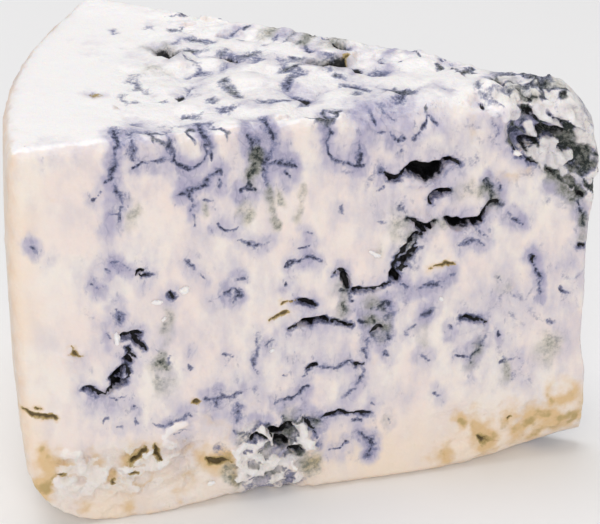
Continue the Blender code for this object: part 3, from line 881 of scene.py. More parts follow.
class Faces:
    """Where surface points lie against the wedge's faces, in mm, and how far each face's marks apply."""

    def __init__(self, wedge, points):
        self.points = points
        self.height = points[:, 2] - wedge.foot
        self.flat_front, self.deep_front = wedge.on_cut(points, -1)
        self.flat_back, self.deep_back = wedge.on_cut(points, 1)
        self.rind_depth, _ = wedge.off_rind(points)
        top_depth = wedge.foot + wedge.height - points[:, 2]

        front = 1 - smoothstep(3.0, 7.5, self.deep_front)
        nearer_back = self.deep_back < self.deep_front
        self.front = np.where(nearer_back, front * smoothstep(0.0, 1.5, self.deep_back), front)
        self.back = (1 - smoothstep(3.0, 7.5, self.deep_back)) * smoothstep(0.5, 3.0, self.deep_front)
        # Away from the edges, the top's marks reach further down, to the bottom of its openings.
        from_edge = np.minimum(np.minimum(self.deep_front, self.deep_back), self.rind_depth)
        well_in = smoothstep(1.5, 4.5, from_edge)
        self.top = 1 - smoothstep(0, 2.4, top_depth - 0.6 - 3.4 * well_in)
        self.patchy = patchiness(points)


def patchiness(points):
    """How unevenly the mould has grown, about 1."""
    return np.clip(0.92 + 0.9 * billow(points, 2.4, 70.0), 0.25, 1.3)


def marked(flat, marks, weight, smear):
    """Reads marks off one face and makes them ragged.

    The noise doesn't change with depth, so openings keep their colours all the way in.
    """
    level = np.column_stack([flat, np.full(len(flat), smear)])
    ragged = level + spread_from(level, 4.0, 0.5, 3.0) + spread_from(level, 1.6, 0.42, 40.0)
    ragged += spread_from(level, 0.8, 0.26, 55.0)
    girth = np.clip(0.95 + 1.0 * billow(level, 3.4, 75.0), 0.4, 1.5)
    return read_marks(ragged[:, :2], marks, weight, patchiness(level), girth, smear)


def mark_fields(wedge, at):
    """The fields of the placed marks on all three faces."""
    front = marked(at.flat_front, FRONT_MARKS, at.front, KNIFE_DRAG)
    # The back cut met the same kind of tracks; its marks lie the other way up and further from the rind.
    back_flat = np.stack([at.flat_back[:, 0] * 1.04 - 5.0, wedge.height - at.flat_back[:, 1] * 0.97], axis=1)
    back = marked(back_flat, dict(FRONT_MARKS, gilt=(), gold=(), chip=()), at.back, KNIFE_DRAG)
    top = marked(at.points[:, :2], TOP_MARKS, at.top, 1.0)
    field = {kind: np.maximum(np.maximum(front[kind], back[kind]), top[kind]) for kind in KINDS}
    for name, face in (("front", front), ("back", back), ("top", top)):
        field["sink_" + name] = face["sink"] - face["lift"]
    field["marked_front"] = front["vein"]
    return field


def strengthen(field, kind, value, near=slice(None)):
    """Raises one field to the value where the value is stronger."""
    field[kind][near] = np.maximum(field[kind][near], value)


def break_corner(at, field):
    """The broken corner lies above a line that slopes down to the thin end."""
    along, height = at.flat_front[:, 0], at.flat_front[:, 1]
    slope = ((along - 79.5) * 12 + (height - 59.5) * 14) / math.hypot(12, 14)
    above = np.minimum(slope, (along - 80.3) + 0.1 * (68 - height))
    edge = smoothstep(-0.6, 0.6, above + 0.8 * billow(at.points, 3.0, 17.0))
    field["above_break"] = above
    field["broken"] = edge * (1 - smoothstep(6, 9, at.deep_front))


def tear_cuts(at, field):
    """Tears the heel, the mouldy pocket and the broken corner into flakes, some fresh and some grown over."""
    broken = field["broken"]
    heel, pocket, mouldy = tearing(at.flat_front, at.deep_front)
    low_back = at.back * smoothstep(0.1, 0.5, billow(at.points, 12.0, 44.0))
    low_back *= 1 - smoothstep(10, 20, at.height)
    heel = np.maximum(heel, 0.6 * low_back)

    # Flakes are drawn flat on the face they belong to, so that they stay put as the surface moves.
    nearest = np.where((at.front > 0)[:, None], at.flat_front, at.flat_back)
    level = np.column_stack([nearest, np.zeros(len(nearest))])
    level += spread_from(level, 2.2, 0.5, 33.0)
    field["flake"] = np.zeros(len(level))
    fresh = np.zeros(len(level))
    clear_of_marks = 1 - smoothstep(0.3, 0.65, field["marked_front"])
    zones = {"heel": heel * (broken == 0), "pocket": pocket * (pocket > heel) * (broken == 0), "tip": broken}
    for zone, share in zones.items():
        near = np.flatnonzero(share > 0)
        stands, border, own = torn_flakes(level[near, :2], zone)
        field["flake"][near] = stands
        newly = 1 - TORN[zone][4]
        newness = smoothstep(newly - 0.05, newly + 0.05, own + 0.15 * billow(level[near], 1.5, 12.0))
        fresh[near] = share[near] * newness
        fresh[near] *= clear_of_marks[near]
        if zone == "heel":
            # Amber in the recesses between heel flakes: amber staining with painted warm shade.
            amber_and_shade_in_cracks = np.clip(1 - border / 0.5, 0, 1)
            amber_and_shade_in_cracks *= smoothstep(-0.1, 0.4, billow(at.points[near], 5.0, 14.0))
            strengthen(field, "gold", 0.6 * share[near] * amber_and_shade_in_cracks, near)
            continue
        mould = share[near] if zone == "tip" else mouldy[near]
        crack = np.clip(1.15 - border / 0.35, 0, 1)
        dark = np.maximum(crack, 1 - smoothstep(0.28, 0.36, own))
        strengthen(field, "vein", mould * dark * np.maximum(at.patchy[near], 0.7), near)
        strengthen(field, "haze", mould * (1 - smoothstep(0.45, 0.6, own)), near)
        greener = smoothstep(0.4, 0.8, np.modf(own * 7.0)[0] * 0.7 + 0.4 * crack)
        strengthen(field, "green", 0.8 * mould * greener, near)
    field["torn"] = np.maximum(np.maximum(heel, pocket), broken)

    strengthen(field, "white", (0.5 + 0.35 * np.maximum(mouldy, broken)) * fresh)
    along, height = at.flat_front[:, 0], at.flat_front[:, 1]
    smooth_face = smoothstep(91.0, 92.6, along) * smoothstep(57.0, 59.0, height)
    smooth_face *= 1 - smoothstep(65.0, 67.0, height)
    strengthen(field, "white", 0.75 * smooth_face)
    for kind in ("vein", "haze", "green", "gold"):
        field[kind] *= 1 - 0.85 * field["white"]
    film = np.maximum(0.45 * broken, 0.45 * pocket) * (1 - field["white"])  # grey, on what hasn't just broken
    strengthen(field, "haze", film)
    # Less painted shade in the splits of the broken corner.
    field["hollow"] *= 1 - 0.35 * broken


def tear_top(at, field):
    """The top came away from its neighbour in grains, layered and with mould in some of the gaps. The dark
    slits and grey edges between the grains are mould with painted shade under the grains' edges.
    """
    near_tip = smoothstep(28, 34, at.points[:, 0] + 2.5 * billow(at.points, 5.0, 18.0)) * at.top
    flat = at.points * np.array([1.0, 1.0, 0.0])
    flat += spread_from(flat, 2.6, 0.7, 63.0)
    face, border, own = flakes(flat * np.array([0.8, 1.1, 1.0]), 4.0, 57.0)
    small_face, _, _ = flakes(flat, 1.6, 71.0)
    field["flake_top"] = face + 0.3 * small_face
    away_from_rind = smoothstep(10, 24, at.rind_depth) * at.top
    field["torn_top"] = np.maximum(0.75 * away_from_rind, near_tip)

    crack = np.clip(1.15 - border / 0.3, 0, 1)
    # Dark slits along some grain edges: mould, with painted shade under the grains' edges.
    slit_mould_and_shade = crack * smoothstep(0.0, 0.35, billow(flat, 3.5, 21.0) + 0.5 * billow(flat, 9.0, 25.0))
    slit_mould_and_shade = np.maximum(slit_mould_and_shade * away_from_rind, near_tip * np.maximum(crack, 0.9 * (own < 0.4)))
    strengthen(field, "vein", 0.9 * slit_mould_and_shade)
    # Grey along each grain's edge: mould haze and painted shade below the edge.
    strengthen(field, "haze", 0.35 * np.clip(1 - border / 0.9, 0, 1) * away_from_rind)
    strengthen(field, "haze", 0.8 * near_tip * (own < 0.5))
    strengthen(field, "green", 0.5 * near_tip * smoothstep(0.6, 0.85, own))
    strengthen(field, "green", 0.5 * slit_mould_and_shade)


def grow_through_curd(at, field):
    """Mould also runs thinly round the curd grains of the cuts, in patches, and never near the rind."""
    stretched = (at.points + spread_from(at.points, 1.6, 0.4, 40.0)) * np.array([0.8, 1.0, 0.6])
    _, border, _ = flakes(stretched, 4.6)
    patch = smoothstep(-0.1, 0.5, billow(at.points, 13.0, 5.0) + 0.4 * billow(at.points, 5.0, 9.0))
    inner = smoothstep(6, 14, at.rind_depth) * smoothstep(8, 18, at.height) * (1 - at.top)
    strengthen(field, "vein", 0.35 * np.clip(1 - border / 0.6, 0, 1) * patch * inner * at.patchy)
    strengthen(field, "haze", (0.32 + 0.24 * patch) * inner)


def surface_fields(wedge, points):
    """Every colouring field, and how far the surface sinks in from each face, at points in mm."""
    at = Faces(wedge, points)
    field = mark_fields(wedge, at)
    break_corner(at, field)
    tear_cuts(at, field)
    tear_top(at, field)
    grow_through_curd(at, field)
    field["front"], field["back"], field["top"] = at.front, at.back, at.top
    field["rind"] = 1 - smoothstep(0.3, 2.2, at.rind_depth)
    return field


# ---------------------------------------------------------------- the wedge's mesh


def mesh_points(mesh):
    points = np.empty(len(mesh.vertices) * 3, np.float32)
    mesh.vertices.foreach_get("co", points)
    return points.reshape(-1, 3).astype(float) / MM


def set_points(mesh, points):
    mesh.vertices.foreach_set("co", (points * MM).astype(np.float32).ravel())
    mesh.update()


def mesh_normals(mesh):
    normals = np.empty(len(mesh.vertices) * 3, np.float32)
    mesh.vertex_normals.foreach_get("vector", normals)
    return normals.reshape(-1, 3).astype(float)


def apply_modifier(obj, kind, **settings):
    modifier = obj.modifiers.new(kind.lower(), kind)
    for name, value in settings.items():
        setattr(modifier, name, value)
    graph = bpy.context.evaluated_depsgraph_get()
    result = bpy.data.meshes.new_from_object(obj.evaluated_get(graph))
    obj.modifiers.clear()
    old = obj.data
    obj.data = result
    bpy.data.meshes.remove(old)


def wedge_blank(wedge, sizes):
    """The plain wedge: half a drum's section, spun by the wedge's angle and eased along its cut edges."""
    foot_round, crown_round = sizes.foot_rounding / MM, sizes.crown_rounding / MM
    top = wedge.height
    bm = bmesh.new()
    profile = [(wedge.tip_radius, 0.0)]

    def heel(z):
        return wedge.radius - wedge.bulge * ((z - top / 2) / (top / 2)) ** 2

    for step in range(9):
        turn = -math.pi / 2 + math.pi / 2 * step / 8
        r = heel(foot_round) - foot_round + foot_round * math.cos(turn)
        profile.append((r, foot_round + foot_round * math.sin(turn)))
    for step in range(1, 8):
        z = foot_round + (top - crown_round - foot_round) * step / 8
        profile.append((heel(z), z))
    for step in range(5):
        turn = math.pi / 2 * step / 4
        r = heel(top - crown_round) - crown_round + crown_round * math.cos(turn)
        profile.append((r, top - crown_round + crown_round * math.sin(turn)))
    profile.append((wedge.tip_radius, top))
    corners = [bm.verts.new(((wedge.axis_x - r) * MM, 0.0, (wedge.foot + z) * MM)) for r, z in profile]
    section = bm.faces.new(corners)
    drum_axis = Vector((wedge.axis_x * MM, 0.0, 0.0))
    bmesh.ops.rotate(bm, verts=corners, cent=drum_axis, matrix=Matrix.Rotation(wedge.half_angle, 3, "Z"))
    whole = [section, *section.edges, *corners]
    bmesh.ops.spin(bm, geom=whole, cent=drum_axis, axis=(0, 0, 1), angle=-2 * wedge.half_angle, steps=24)
    bmesh.ops.remove_doubles(bm, verts=bm.verts, dist=1e-6)
    bmesh.ops.recalc_face_normals(bm, faces=bm.faces)
    mesh = bpy.data.meshes.new("cheese_body")
    bm.to_mesh(mesh)
    bm.free()
    return mesh


def round_between(points, inside_a, out_a, inside_b, out_b, radius):
    """Rounds the edge where two faces meet, by a radius that may vary from point to point.

    It takes how far inside each face the points lie and which way the face looks, and moves them in place.
    """
    a, b = radius - inside_a, radius - inside_b
    reach = np.hypot(a, b)
    beyond = (a > 0) & (b > 0) & (reach > radius)
    shrink = np.where(beyond, 1 - radius / np.maximum(reach, 1e-9), 0)
    points -= (a * shrink)[:, None] * out_a
    points -= (b * shrink)[:, None] * out_b


def shape_body(wedge, points):
    """The soft, hand-cut outline: edges worn unevenly, slightly wavy cuts and a thin end that has broken."""
    wander = 0.5 * billow(points, 9.0, 2.0)
    up = np.array([0.0, 0.0, 1.0])
    out = {
        "front": wedge.cut_normal(-1),
        "back": wedge.cut_normal(1),
        "tip": np.array([1.0, 0.0, 0.0]),
        "top": up,
        "foot": -up,
    }

    def foot_radius(along):
        """Sharp at the heel, rounder where the mouldy pocket has torn, and soft towards the thin end."""
        pocket = 2.6 * np.exp(-(((along - 38) / 8.5) ** 2))
        return 0.4 + 1.4 * smoothstep(20, 32, along) + pocket + 9.5 * smoothstep(68, 100, along)

    # Each edge is the two faces it lies between and its radius in mm, from the distance along the front cut.
    edges = (
        ("front", "top", lambda along: 1.8 + 4.2 * smoothstep(44, 66, along) + wander),
        ("back", "top", lambda along: 0.3 + 1.2 * smoothstep(60, 80, along) + 0.2 * wander),
        ("front", "foot", foot_radius),
        ("back", "foot", lambda along: 2.2 + wander),
        ("rind", "front", lambda along: 2.2 + wander),
        ("rind", "back", lambda along: 1.4 + wander),
        ("tip", "foot", lambda along: 5.0 + wander),
        ("tip", "top", lambda along: 9.5 + wander),
    )
    for first, second, radius in edges:
        flat_front, inside_front = wedge.on_cut(points, -1)
        inside_rind, out["rind"] = wedge.off_rind(points)
        height = points[:, 2] - wedge.foot
        inside = {
            "front": inside_front,
            "back": wedge.on_cut(points, 1)[1],
            "rind": inside_rind,
            "tip": HIGHEST.x / MM - points[:, 0],
            "top": wedge.height - height,
            "foot": height,
        }
        along = flat_front[:, 0]
        round_between(points, inside[first], out[first], inside[second], out[second], radius(along))

    # The thin end swells where it has broken, is hollow at mid height and spreads again at its foot.
    height = points[:, 2] - wedge.foot
    bow = 1.3 * np.exp(-(((height - 54) / 6) ** 2)) + 0.4 + 1.1 * (1 - smoothstep(15, 24, height))
    near_tip = smoothstep(14, 3, HIGHEST.x / MM - points[:, 0])
    points[:, 0] += bow * near_tip * smoothstep(0, 5, height)

    # The top rises a little towards the back cut, where the knife lifted it.
    _, inside_back = wedge.on_cut(points, 1)
    lifted = smoothstep(9, 1, inside_back) * smoothstep(20, 30, HIGHEST.x / MM - points[:, 0])
    points[:, 2] += 0.45 * lifted * smoothstep(60, wedge.height, height)


def sink(wedge, points, normals, field):
    """Presses the marks into each face, no deeper than a third of the way through the thin end."""
    deepest = 0.34 * wedge.thickness(points)
    uneven = 1 + 0.25 * billow(points, 1.6, 61.0)
    facing_top = smoothstep(0.2, 0.7, normals[:, 2])
    for name, side in (("sink_front", -1), ("sink_back", 1)):
        out = wedge.cut_normal(side)
        facing = smoothstep(0.2, 0.7, normals @ out)
        points -= (np.minimum(field[name] * uneven, deepest) * facing)[:, None] * out
    points[:, 2] -= field["sink_top"] * uneven * facing_top


def tear(wedge, points, normals, field):
    """Breaks the thin end's top corner away at the front, and tears the flaking parts of the faces."""
    front_out = wedge.cut_normal(-1)
    facing_front = smoothstep(0.1, 0.6, normals @ front_out)
    facing_top = smoothstep(0.2, 0.7, normals[:, 2])
    broken = field["broken"]
    depth = broken * (np.clip(field["above_break"] * 0.25 + 0.6, 0, 1.6) - field["flake"])
    depth += field["torn"] * (1 - broken) * facing_front * (0.15 - field["flake"])
    depth = np.clip(depth, -0.7, 0.5 * wedge.thickness(points) + 0.3)
    points -= depth[:, None] * front_out
    points[:, 2] -= field["torn_top"] * facing_top * np.maximum(0.45 - 0.9 * field["flake_top"], -0.3)


def rough_up(wedge, points, normals, field):
    """The fine relief: curd grains, small crumbs, drag from the knife and the rind's creases."""
    torn = np.maximum(field["torn"], field["torn_top"])
    flattened, drawn_level = np.array([1, 1, 3.0]), np.array([0.35, 0.35, 1.6])
    ridges = 1 - np.abs(billow(points * np.array([1.0, 1.0, 1.8]), 2.0, 50.0)) * 2.4
    lumps = torn * (0.12 * ridges + 0.16 * billow(points, 1.1, 80.0))
    swell = (0.22 * billow(points, 14.0, 1.0) + 0.12 * billow(points, 4.5, 2.0)) * (1 - 0.6 * field["top"])
    # The knife shivers a little as it is pulled along, and leaves faint level ticks.
    ticks = 0.06 * np.abs(billow(points * drawn_level, 1.5, 28.0)) * (1 - field["top"])
    fine = 0.06 * billow(points, 1.3, 4.0) + 0.05 * billow(points, 0.7, 8.0)
    creases = 0.14 * np.abs(billow(points * flattened, 7.0, 12.0)) + 0.1 * billow(points, 2.2, 15.0)
    height = swell + lumps + ticks + fine - field["rind"] * creases
    height -= 0.12 * field["vein"]
    under = smoothstep(0.5, 0.95, -normals[:, 2])
    height *= 1 - under
    points += height[:, None] * normals


def store(mesh, name, values):
    attribute = mesh.attributes.new(name, "FLOAT", "POINT")
    attribute.data.foreach_set("value", values.astype(np.float32))


def remesh(obj, voxel):
    """Joins the mesh's folds and overlaps into one even skin, with voxels of that many mm."""
    apply_modifier(obj, "REMESH", mode="VOXEL", voxel_size=voxel * MM, adaptivity=0.0)


def thin_out(body, field, most_triangles):
    """Thins the mesh to the most triangles. The faces with the finest marks keep the most."""
    body.data.calc_loop_triangles()
    count = len(body.data.loop_triangles)
    if count <= most_triangles:
        return
    plain = body.vertex_groups.new(name="plain")
    share = 1 - np.maximum(field["front"], 0.9 * field["top"]) - 0.55 * field["back"] * (1 - field["front"])
    for index, weight in enumerate(np.clip(share, 0, 0.9)):
        plain.add((index,), weight, "REPLACE")
    settings = {"vertex_group": plain.name, "vertex_group_factor": 1.0, "invert_vertex_group": False}
    apply_modifier(body, "DECIMATE", decimate_type="COLLAPSE", ratio=most_triangles / count, **settings)
    body.vertex_groups.clear()


def build_wedge(sizes):
    wedge = Wedge(sizes)
    body = bpy.data.objects.new("cheese_body", wedge_blank(wedge, sizes))
    bpy.context.scene.collection.objects.link(body)
    remesh(body, FIRST_VOXEL)
    points = mesh_points(body.data)
    shape_body(wedge, points)
    set_points(body.data, points)
    field = surface_fields(wedge, points)
    normals = mesh_normals(body.data)
    tear(wedge, points, normals, field)
    sink(wedge, points, normals, field)
    set_points(body.data, points)
    remesh(body, LAST_VOXEL)
    points = mesh_points(body.data)
    normals = mesh_normals(body.data)
    field = surface_fields(wedge, points)
    rough_up(wedge, points, normals, field)
    points[:, 2] = np.maximum(points[:, 2], wedge.foot)
    set_points(body.data, points)
    thin_out(body, field, sizes.most_triangles)
    points = mesh_points(body.data)
    field = surface_fields(wedge, points)
    paint_body(wedge, body.data, points, field)
    body.data.shade_smooth()
    return body


def build_crumbs(wedge, body):
    """Small broken lumps, each bedded a little way into the cut behind it."""
    bm = bmesh.new()
    out = Vector(wedge.cut_normal(-1))
    inward = Vector((math.cos(wedge.half_angle), math.sin(wedge.half_angle), 0.0))
    seat = bmesh.new()
    seat.from_mesh(body.data)
    tree = BVHTree.FromBMesh(seat)
    seat.free()
    for along, height, length, width, thick, turn in CRUMBS:
        from_axis = wedge.radius - along
        start = Vector((wedge.axis_x, 0.0, wedge.foot + WORN_FOOT + height)) - inward * from_axis
        hit, *_ = tree.ray_cast((start + out * 20) * MM, -out)
        if hit is None:
            raise RuntimeError(f"no cut behind the crumb at {along}, {height}")
        axes = Matrix((inward, (0.0, 0.0, 1.0), -out)).transposed().to_4x4()
        turned = axes @ Matrix.Rotation(math.radians(turn), 4, "Z")
        place = Matrix.Translation(hit + out * thick * 0.22 * MM) @ turned
        scale = Matrix.Diagonal((length / 2 * MM, width / 2 * MM, thick / 2 * MM, 1.0))
        made = bmesh.ops.create_icosphere(bm, subdivisions=4, radius=1.0, matrix=place @ scale)
        corners = np.array([vert.co for vert in made["verts"]]) / MM
        middle = np.array(place.translation) / MM
        broken = 1 + 0.5 * billow(corners, max(width, 0.8), 90.0) + 0.25 * billow(corners, 0.4 * width, 93.0)
        for vert, corner in zip(made["verts"], middle + (corners - middle) * broken[:, None]):
            vert.co = Vector(corner) * MM
    mesh = bpy.data.meshes.new("crumbs")
    bm.to_mesh(mesh)
    bm.free()
    mesh.shade_smooth()
    store(mesh, "white", np.full(len(mesh.vertices), 0.7))
    crumbs = bpy.data.objects.new("crumbs", mesh)
    bpy.context.scene.collection.objects.link(crumbs)
    return crumbs


def paint_body(wedge, mesh, points, field):
    """Keeps the colouring fields on the mesh for the material to read."""
    height = points[:, 2] - wedge.foot
    rind_depth, _ = wedge.off_rind(points)
    warmth = 1 - smoothstep(4, 17, height + 4 * billow(points, 10.0, 33.0))
    warmth = np.maximum(warmth, 1 - smoothstep(1, 7, rind_depth + 1.5 * billow(points, 8.0, 35.0)))
    underside = 1 - smoothstep(0.3, 1.6, height)
    for kind in KINDS:
        store(mesh, kind, field[kind])
    store(mesh, "torn", np.maximum(field["torn"], 0.5 * field["torn_top"]))
    # The top's paste is whitened where it faces up: whiter torn paste and painted light from above.
    store(mesh, "pale", field["top"] * smoothstep(0.6, 0.97, mesh_normals(mesh)[:, 2]))
    store(mesh, "warmth", warmth * (1 - 0.8 * field["top"]))
    store(mesh, "rind", np.maximum(field["rind"], underside))


# ---------------------------------------------------------------- materials


def add_node(tree, kind, sockets, **settings):
    """Adds a node, sets its own settings, then links or sets its sockets."""
    made = tree.nodes.new(kind)
    for name, value in settings.items():
        setattr(made, name, value)
    for key, value in sockets.items():
        if isinstance(value, bpy.types.NodeSocket):
            tree.links.new(value, made.inputs[key])
        else:
            made.inputs[key].default_value = value
    return made


def cheese_material(colours):
    """Blue-veined cow's milk cheese, cut with a knife.

    The paste is moist and fatty, so light sinks in a little and the knife's face has a soft shine.
    """
    material = bpy.data.materials.new("blue_veined_cheese")
    material.use_nodes = True
    tree = material.node_tree
    shader = tree.nodes["Principled BSDF"]
    where = add_node(tree, "ShaderNodeTexCoord", {}).outputs["Object"]

    # The knife has dragged the mould up and down the cuts, so its clouds are drawn out that way.
    drag = {"Vector": where, "Scale": (1.0, 1.0, 0.55)}
    dragged = add_node(tree, "ShaderNodeMapping", drag).outputs["Vector"]

    def noise(size_mm, detail, roughness=0.5, along=where):
        sockets = {"Vector": along, "Scale": 1 / (size_mm * MM), "Detail": detail, "Roughness": roughness}
        return add_node(tree, "ShaderNodeTexNoise", sockets).outputs["Fac"]

    def field(name):
        return add_node(tree, "ShaderNodeAttribute", {}, attribute_name=name).outputs["Fac"]

    def maths(operation, a, b):
        return add_node(tree, "ShaderNodeMath", {0: a, 1: b}, operation=operation).outputs[0]

    def ease(value, low, high, to=1.0):
        sockets = {"Value": value, "From Min": low, "From Max": high, "To Min": 0.0, "To Max": to}
        eased = add_node(tree, "ShaderNodeMapRange", sockets, interpolation_type="SMOOTHSTEP")
        return eased.outputs["Result"]

    def blend(factor, first, second):
        sockets = {0: factor, 6: first, 7: second}
        return add_node(tree, "ShaderNodeMix", sockets, data_type="RGBA").outputs[2]

    broad = noise(11.0, 3)  # clouding in the paste, a thumb's width across
    cloud = noise(4.0, 4, 0.5, dragged)  # smaller clouding, a pea across
    grain = noise(1.9, 4, 0.55, dragged)  # curd grain, a few millimetres
    fine = noise(0.6, 3, 0.6)  # mould specks, drawn no finer than shows
    thread = noise(2.6, 3, 0.5, dragged)  # mould threads follow where this crosses its middle
    vein_field, haze_field = field("vein"), field("haze")

    def swing(value, amount):
        """The noise about its middle, by the amount."""
        return maths("MULTIPLY", maths("SUBTRACT", value, 0.5), amount)

    # The paste, warmer towards the foot and the rind.
    colour = blend(ease(broad, 0.35, 0.65), colours["paste"], colours["paste_pink"])
    colour = blend(ease(cloud, 0.42, 0.7, 0.75), colour, colours["paste_grey"])
    warm = maths("MULTIPLY", field("warmth"), ease(broad, 0.2, 0.75))
    colour = blend(warm, colour, colours["paste_warm"])
    rind = maths("MULTIPLY", field("rind"), ease(grain, 0.2, 0.8))
    colour = blend(rind, colour, colours["rind"])

    # Amber stains, then the white of newly torn paste, with the top's up-facing paste whitened further as
    # painted light.
    gold = ease(maths("ADD", field("gold"), swing(noise(2.4, 3), 1.2)), 0.15, 0.9)
    colour = blend(gold, colour, colours["gold"])
    old_gold = ease(maths("ADD", field("gold"), swing(noise(3.0, 3), 2.2)), 0.72, 1.2, 0.85)
    colour = blend(old_gold, colour, colours["old_gold"])
    white = maths("MAXIMUM", field("white"), maths("MULTIPLY", field("pale"), 0.8))
    white = ease(maths("ADD", white, swing(grain, 0.5)), 0.25, 0.75)
    colour = blend(white, colour, colours["fresh"])

    # Mould under the surface, and its first threads and specks.
    haze = maths("ADD", haze_field, maths("ADD", swing(grain, 0.9), swing(cloud, 0.4)))
    colour = blend(ease(haze, 0.15, 0.95), colour, colours["haze"])
    colour = blend(ease(haze, 0.6, 1.2, 0.85), colour, colours["lavender"])
    threads = maths("SUBTRACT", 1.0, ease(maths("ABSOLUTE", swing(thread, 1.0), 0.0), 0.0, 0.05))
    line = maths("MULTIPLY", threads, ease(maths("ADD", haze_field, swing(cloud, 1.0)), 0.45, 1.05, 0.4))
    specks = maths("MULTIPLY", ease(noise(1.1, 4, 0.6, dragged), 0.58, 0.72), ease(haze_field, 0.2, 0.9, 0.7))
    line = maths("MAXIMUM", line, specks)

    # Grown veins, specked, from thinly spread mould to solid blue or green.
    green_field = field("green")
    green = ease(maths("ADD", green_field, swing(grain, 0.9)), 0.15, 0.8)
    colour = blend(maths("MULTIPLY", green, 0.5), colour, colours["green_stain"])
    specked = maths("MAXIMUM", vein_field, maths("MULTIPLY", green_field, 0.56))
    specked = maths("MULTIPLY", specked, maths("ADD", swing(fine, 2.6), 1.0))
    stain = maths("MAXIMUM", ease(specked, 0.18, 0.65, 0.85), line)
    colour = blend(stain, colour, blend(green, colours["mould_pale"], colours["green_pale"]))
    vein = ease(specked, 0.5, 1.2)
    colour = blend(vein, colour, blend(green, colours["mould_blue"], colours["mould_green"]))

    # Golden-brown splits, then painted shade, near black, deep inside open ones.
    gilt = maths("ADD", field("gilt"), swing(fine, 0.8))
    colour = blend(ease(gilt, 0.15, 0.5), colour, colours["old_gold"])
    colour = blend(ease(gilt, 0.45, 0.9), colour, colours["gilt"])
    hollow = ease(maths("ADD", field("hollow"), swing(fine, 0.7)), 0.3, 0.7)
    colour = blend(hollow, colour, colours["hollow"])
    tree.links.new(colour, shader.inputs["Base Color"])

    rough = ease(maths("ADD", vein, maths("MULTIPLY", fine, 0.5)), 0.0, 1.5, 0.4)
    tree.links.new(maths("ADD", rough, 0.38), shader.inputs["Roughness"])
    shader.inputs["IOR"].default_value = 1.45  # butterfat
    shader.inputs["Subsurface Weight"].default_value = 0.35
    shader.inputs["Subsurface Radius"].default_value = (1.0, 0.75, 0.55)
    shader.inputs["Subsurface Scale"].default_value = 0.0018

    relief = maths("ADD", maths("MULTIPLY", noise(0.45, 3), 0.35), maths("MULTIPLY", grain, 0.5))
    relief = maths("SUBTRACT", relief, maths("MULTIPLY", vein, 0.5))
    crumbling = noise(1.3, 5, 0.65)  # torn paste is crumbly down to a fraction of a millimetre
    relief = maths("ADD", relief, maths("MULTIPLY", maths("MULTIPLY", crumbling, field("torn")), 3.8))
    bump = add_node(tree, "ShaderNodeBump", {"Strength": 0.7, "Distance": 0.00035, "Height": relief})
    tree.links.new(bump.outputs["Normal"], shader.inputs["Normal"])
    return material


def floor_material(colour):
    """The matt white card that the wedge stands on."""
    material = bpy.data.materials.new("white_card")
    material.use_nodes = True
    tree = material.node_tree
    shader = tree.nodes["Principled BSDF"]
    shader.inputs["Base Color"].default_value = colour
    shader.inputs["Roughness"].default_value = 0.9
    return material


# ---------------------------------------------------------------- the studio


def build_floor(scene):
    mesh = bpy.data.meshes.new("floor")
    bm = bmesh.new()
    bmesh.ops.create_grid(bm, x_segments=1, y_segments=1, size=FLOOR_REACH)
    bm.to_mesh(mesh)
    bm.free()
    floor = bpy.data.objects.new("floor", mesh)
    mesh.materials.append(floor_material(hex_colour(FLOOR_COLOUR)))
    scene.collection.objects.link(floor)
    return floor


def light_studio(scene):
    """A soft key light high above, a lower fill in front, and an even white surround."""
    world = bpy.data.worlds.new("studio")
    world.use_nodes = True
    surround = world.node_tree.nodes["Background"]
    surround.inputs["Color"].default_value = hex_colour(SKY_COLOUR)
    surround.inputs["Strength"].default_value = SKY_STRENGTH
    scene.world = world
    middle = Vector(((LOWEST.x + HIGHEST.x) / 2, 0.0, (LOWEST.z + HIGHEST.z) / 2))
    for name, place, size, power, tint in LIGHTS:
        light = bpy.data.lights.new(name, "AREA")
        light.shape = "RECTANGLE"
        light.size, light.size_y = size
        light.energy = power
        light.color = hex_colour(tint)[:3]
        lamp = bpy.data.objects.new(name, light)
        lamp.location = place
        lamp.rotation_euler = (middle - Vector(place)).to_track_quat("-Z", "Y").to_euler()
        scene.collection.objects.link(lamp)


def place_camera(scene):
    """Looks down on the front cut, with the broken thin end to the right."""
    level = math.cos(VIEW_ELEVATION)
    back = Vector((math.sin(VIEW_AZIMUTH) * level, -math.cos(VIEW_AZIMUTH) * level, math.sin(VIEW_ELEVATION)))
    lens = bpy.data.cameras.new("camera")
    lens.lens, lens.sensor_width = FOCAL_LENGTH, SENSOR_WIDTH
    camera = bpy.data.objects.new("camera", lens)
    turn = (-back).to_track_quat("-Z", "Y") @ Matrix.Rotation(VIEW_ROLL, 3, "Z").to_quaternion()
    camera.location = Vector(VIEW_AIM) + back * VIEW_DISTANCE
    camera.rotation_euler = turn.to_euler()
    scene.collection.objects.link(camera)
    scene.camera = camera


# ---------------------------------------------------------------- the add-on


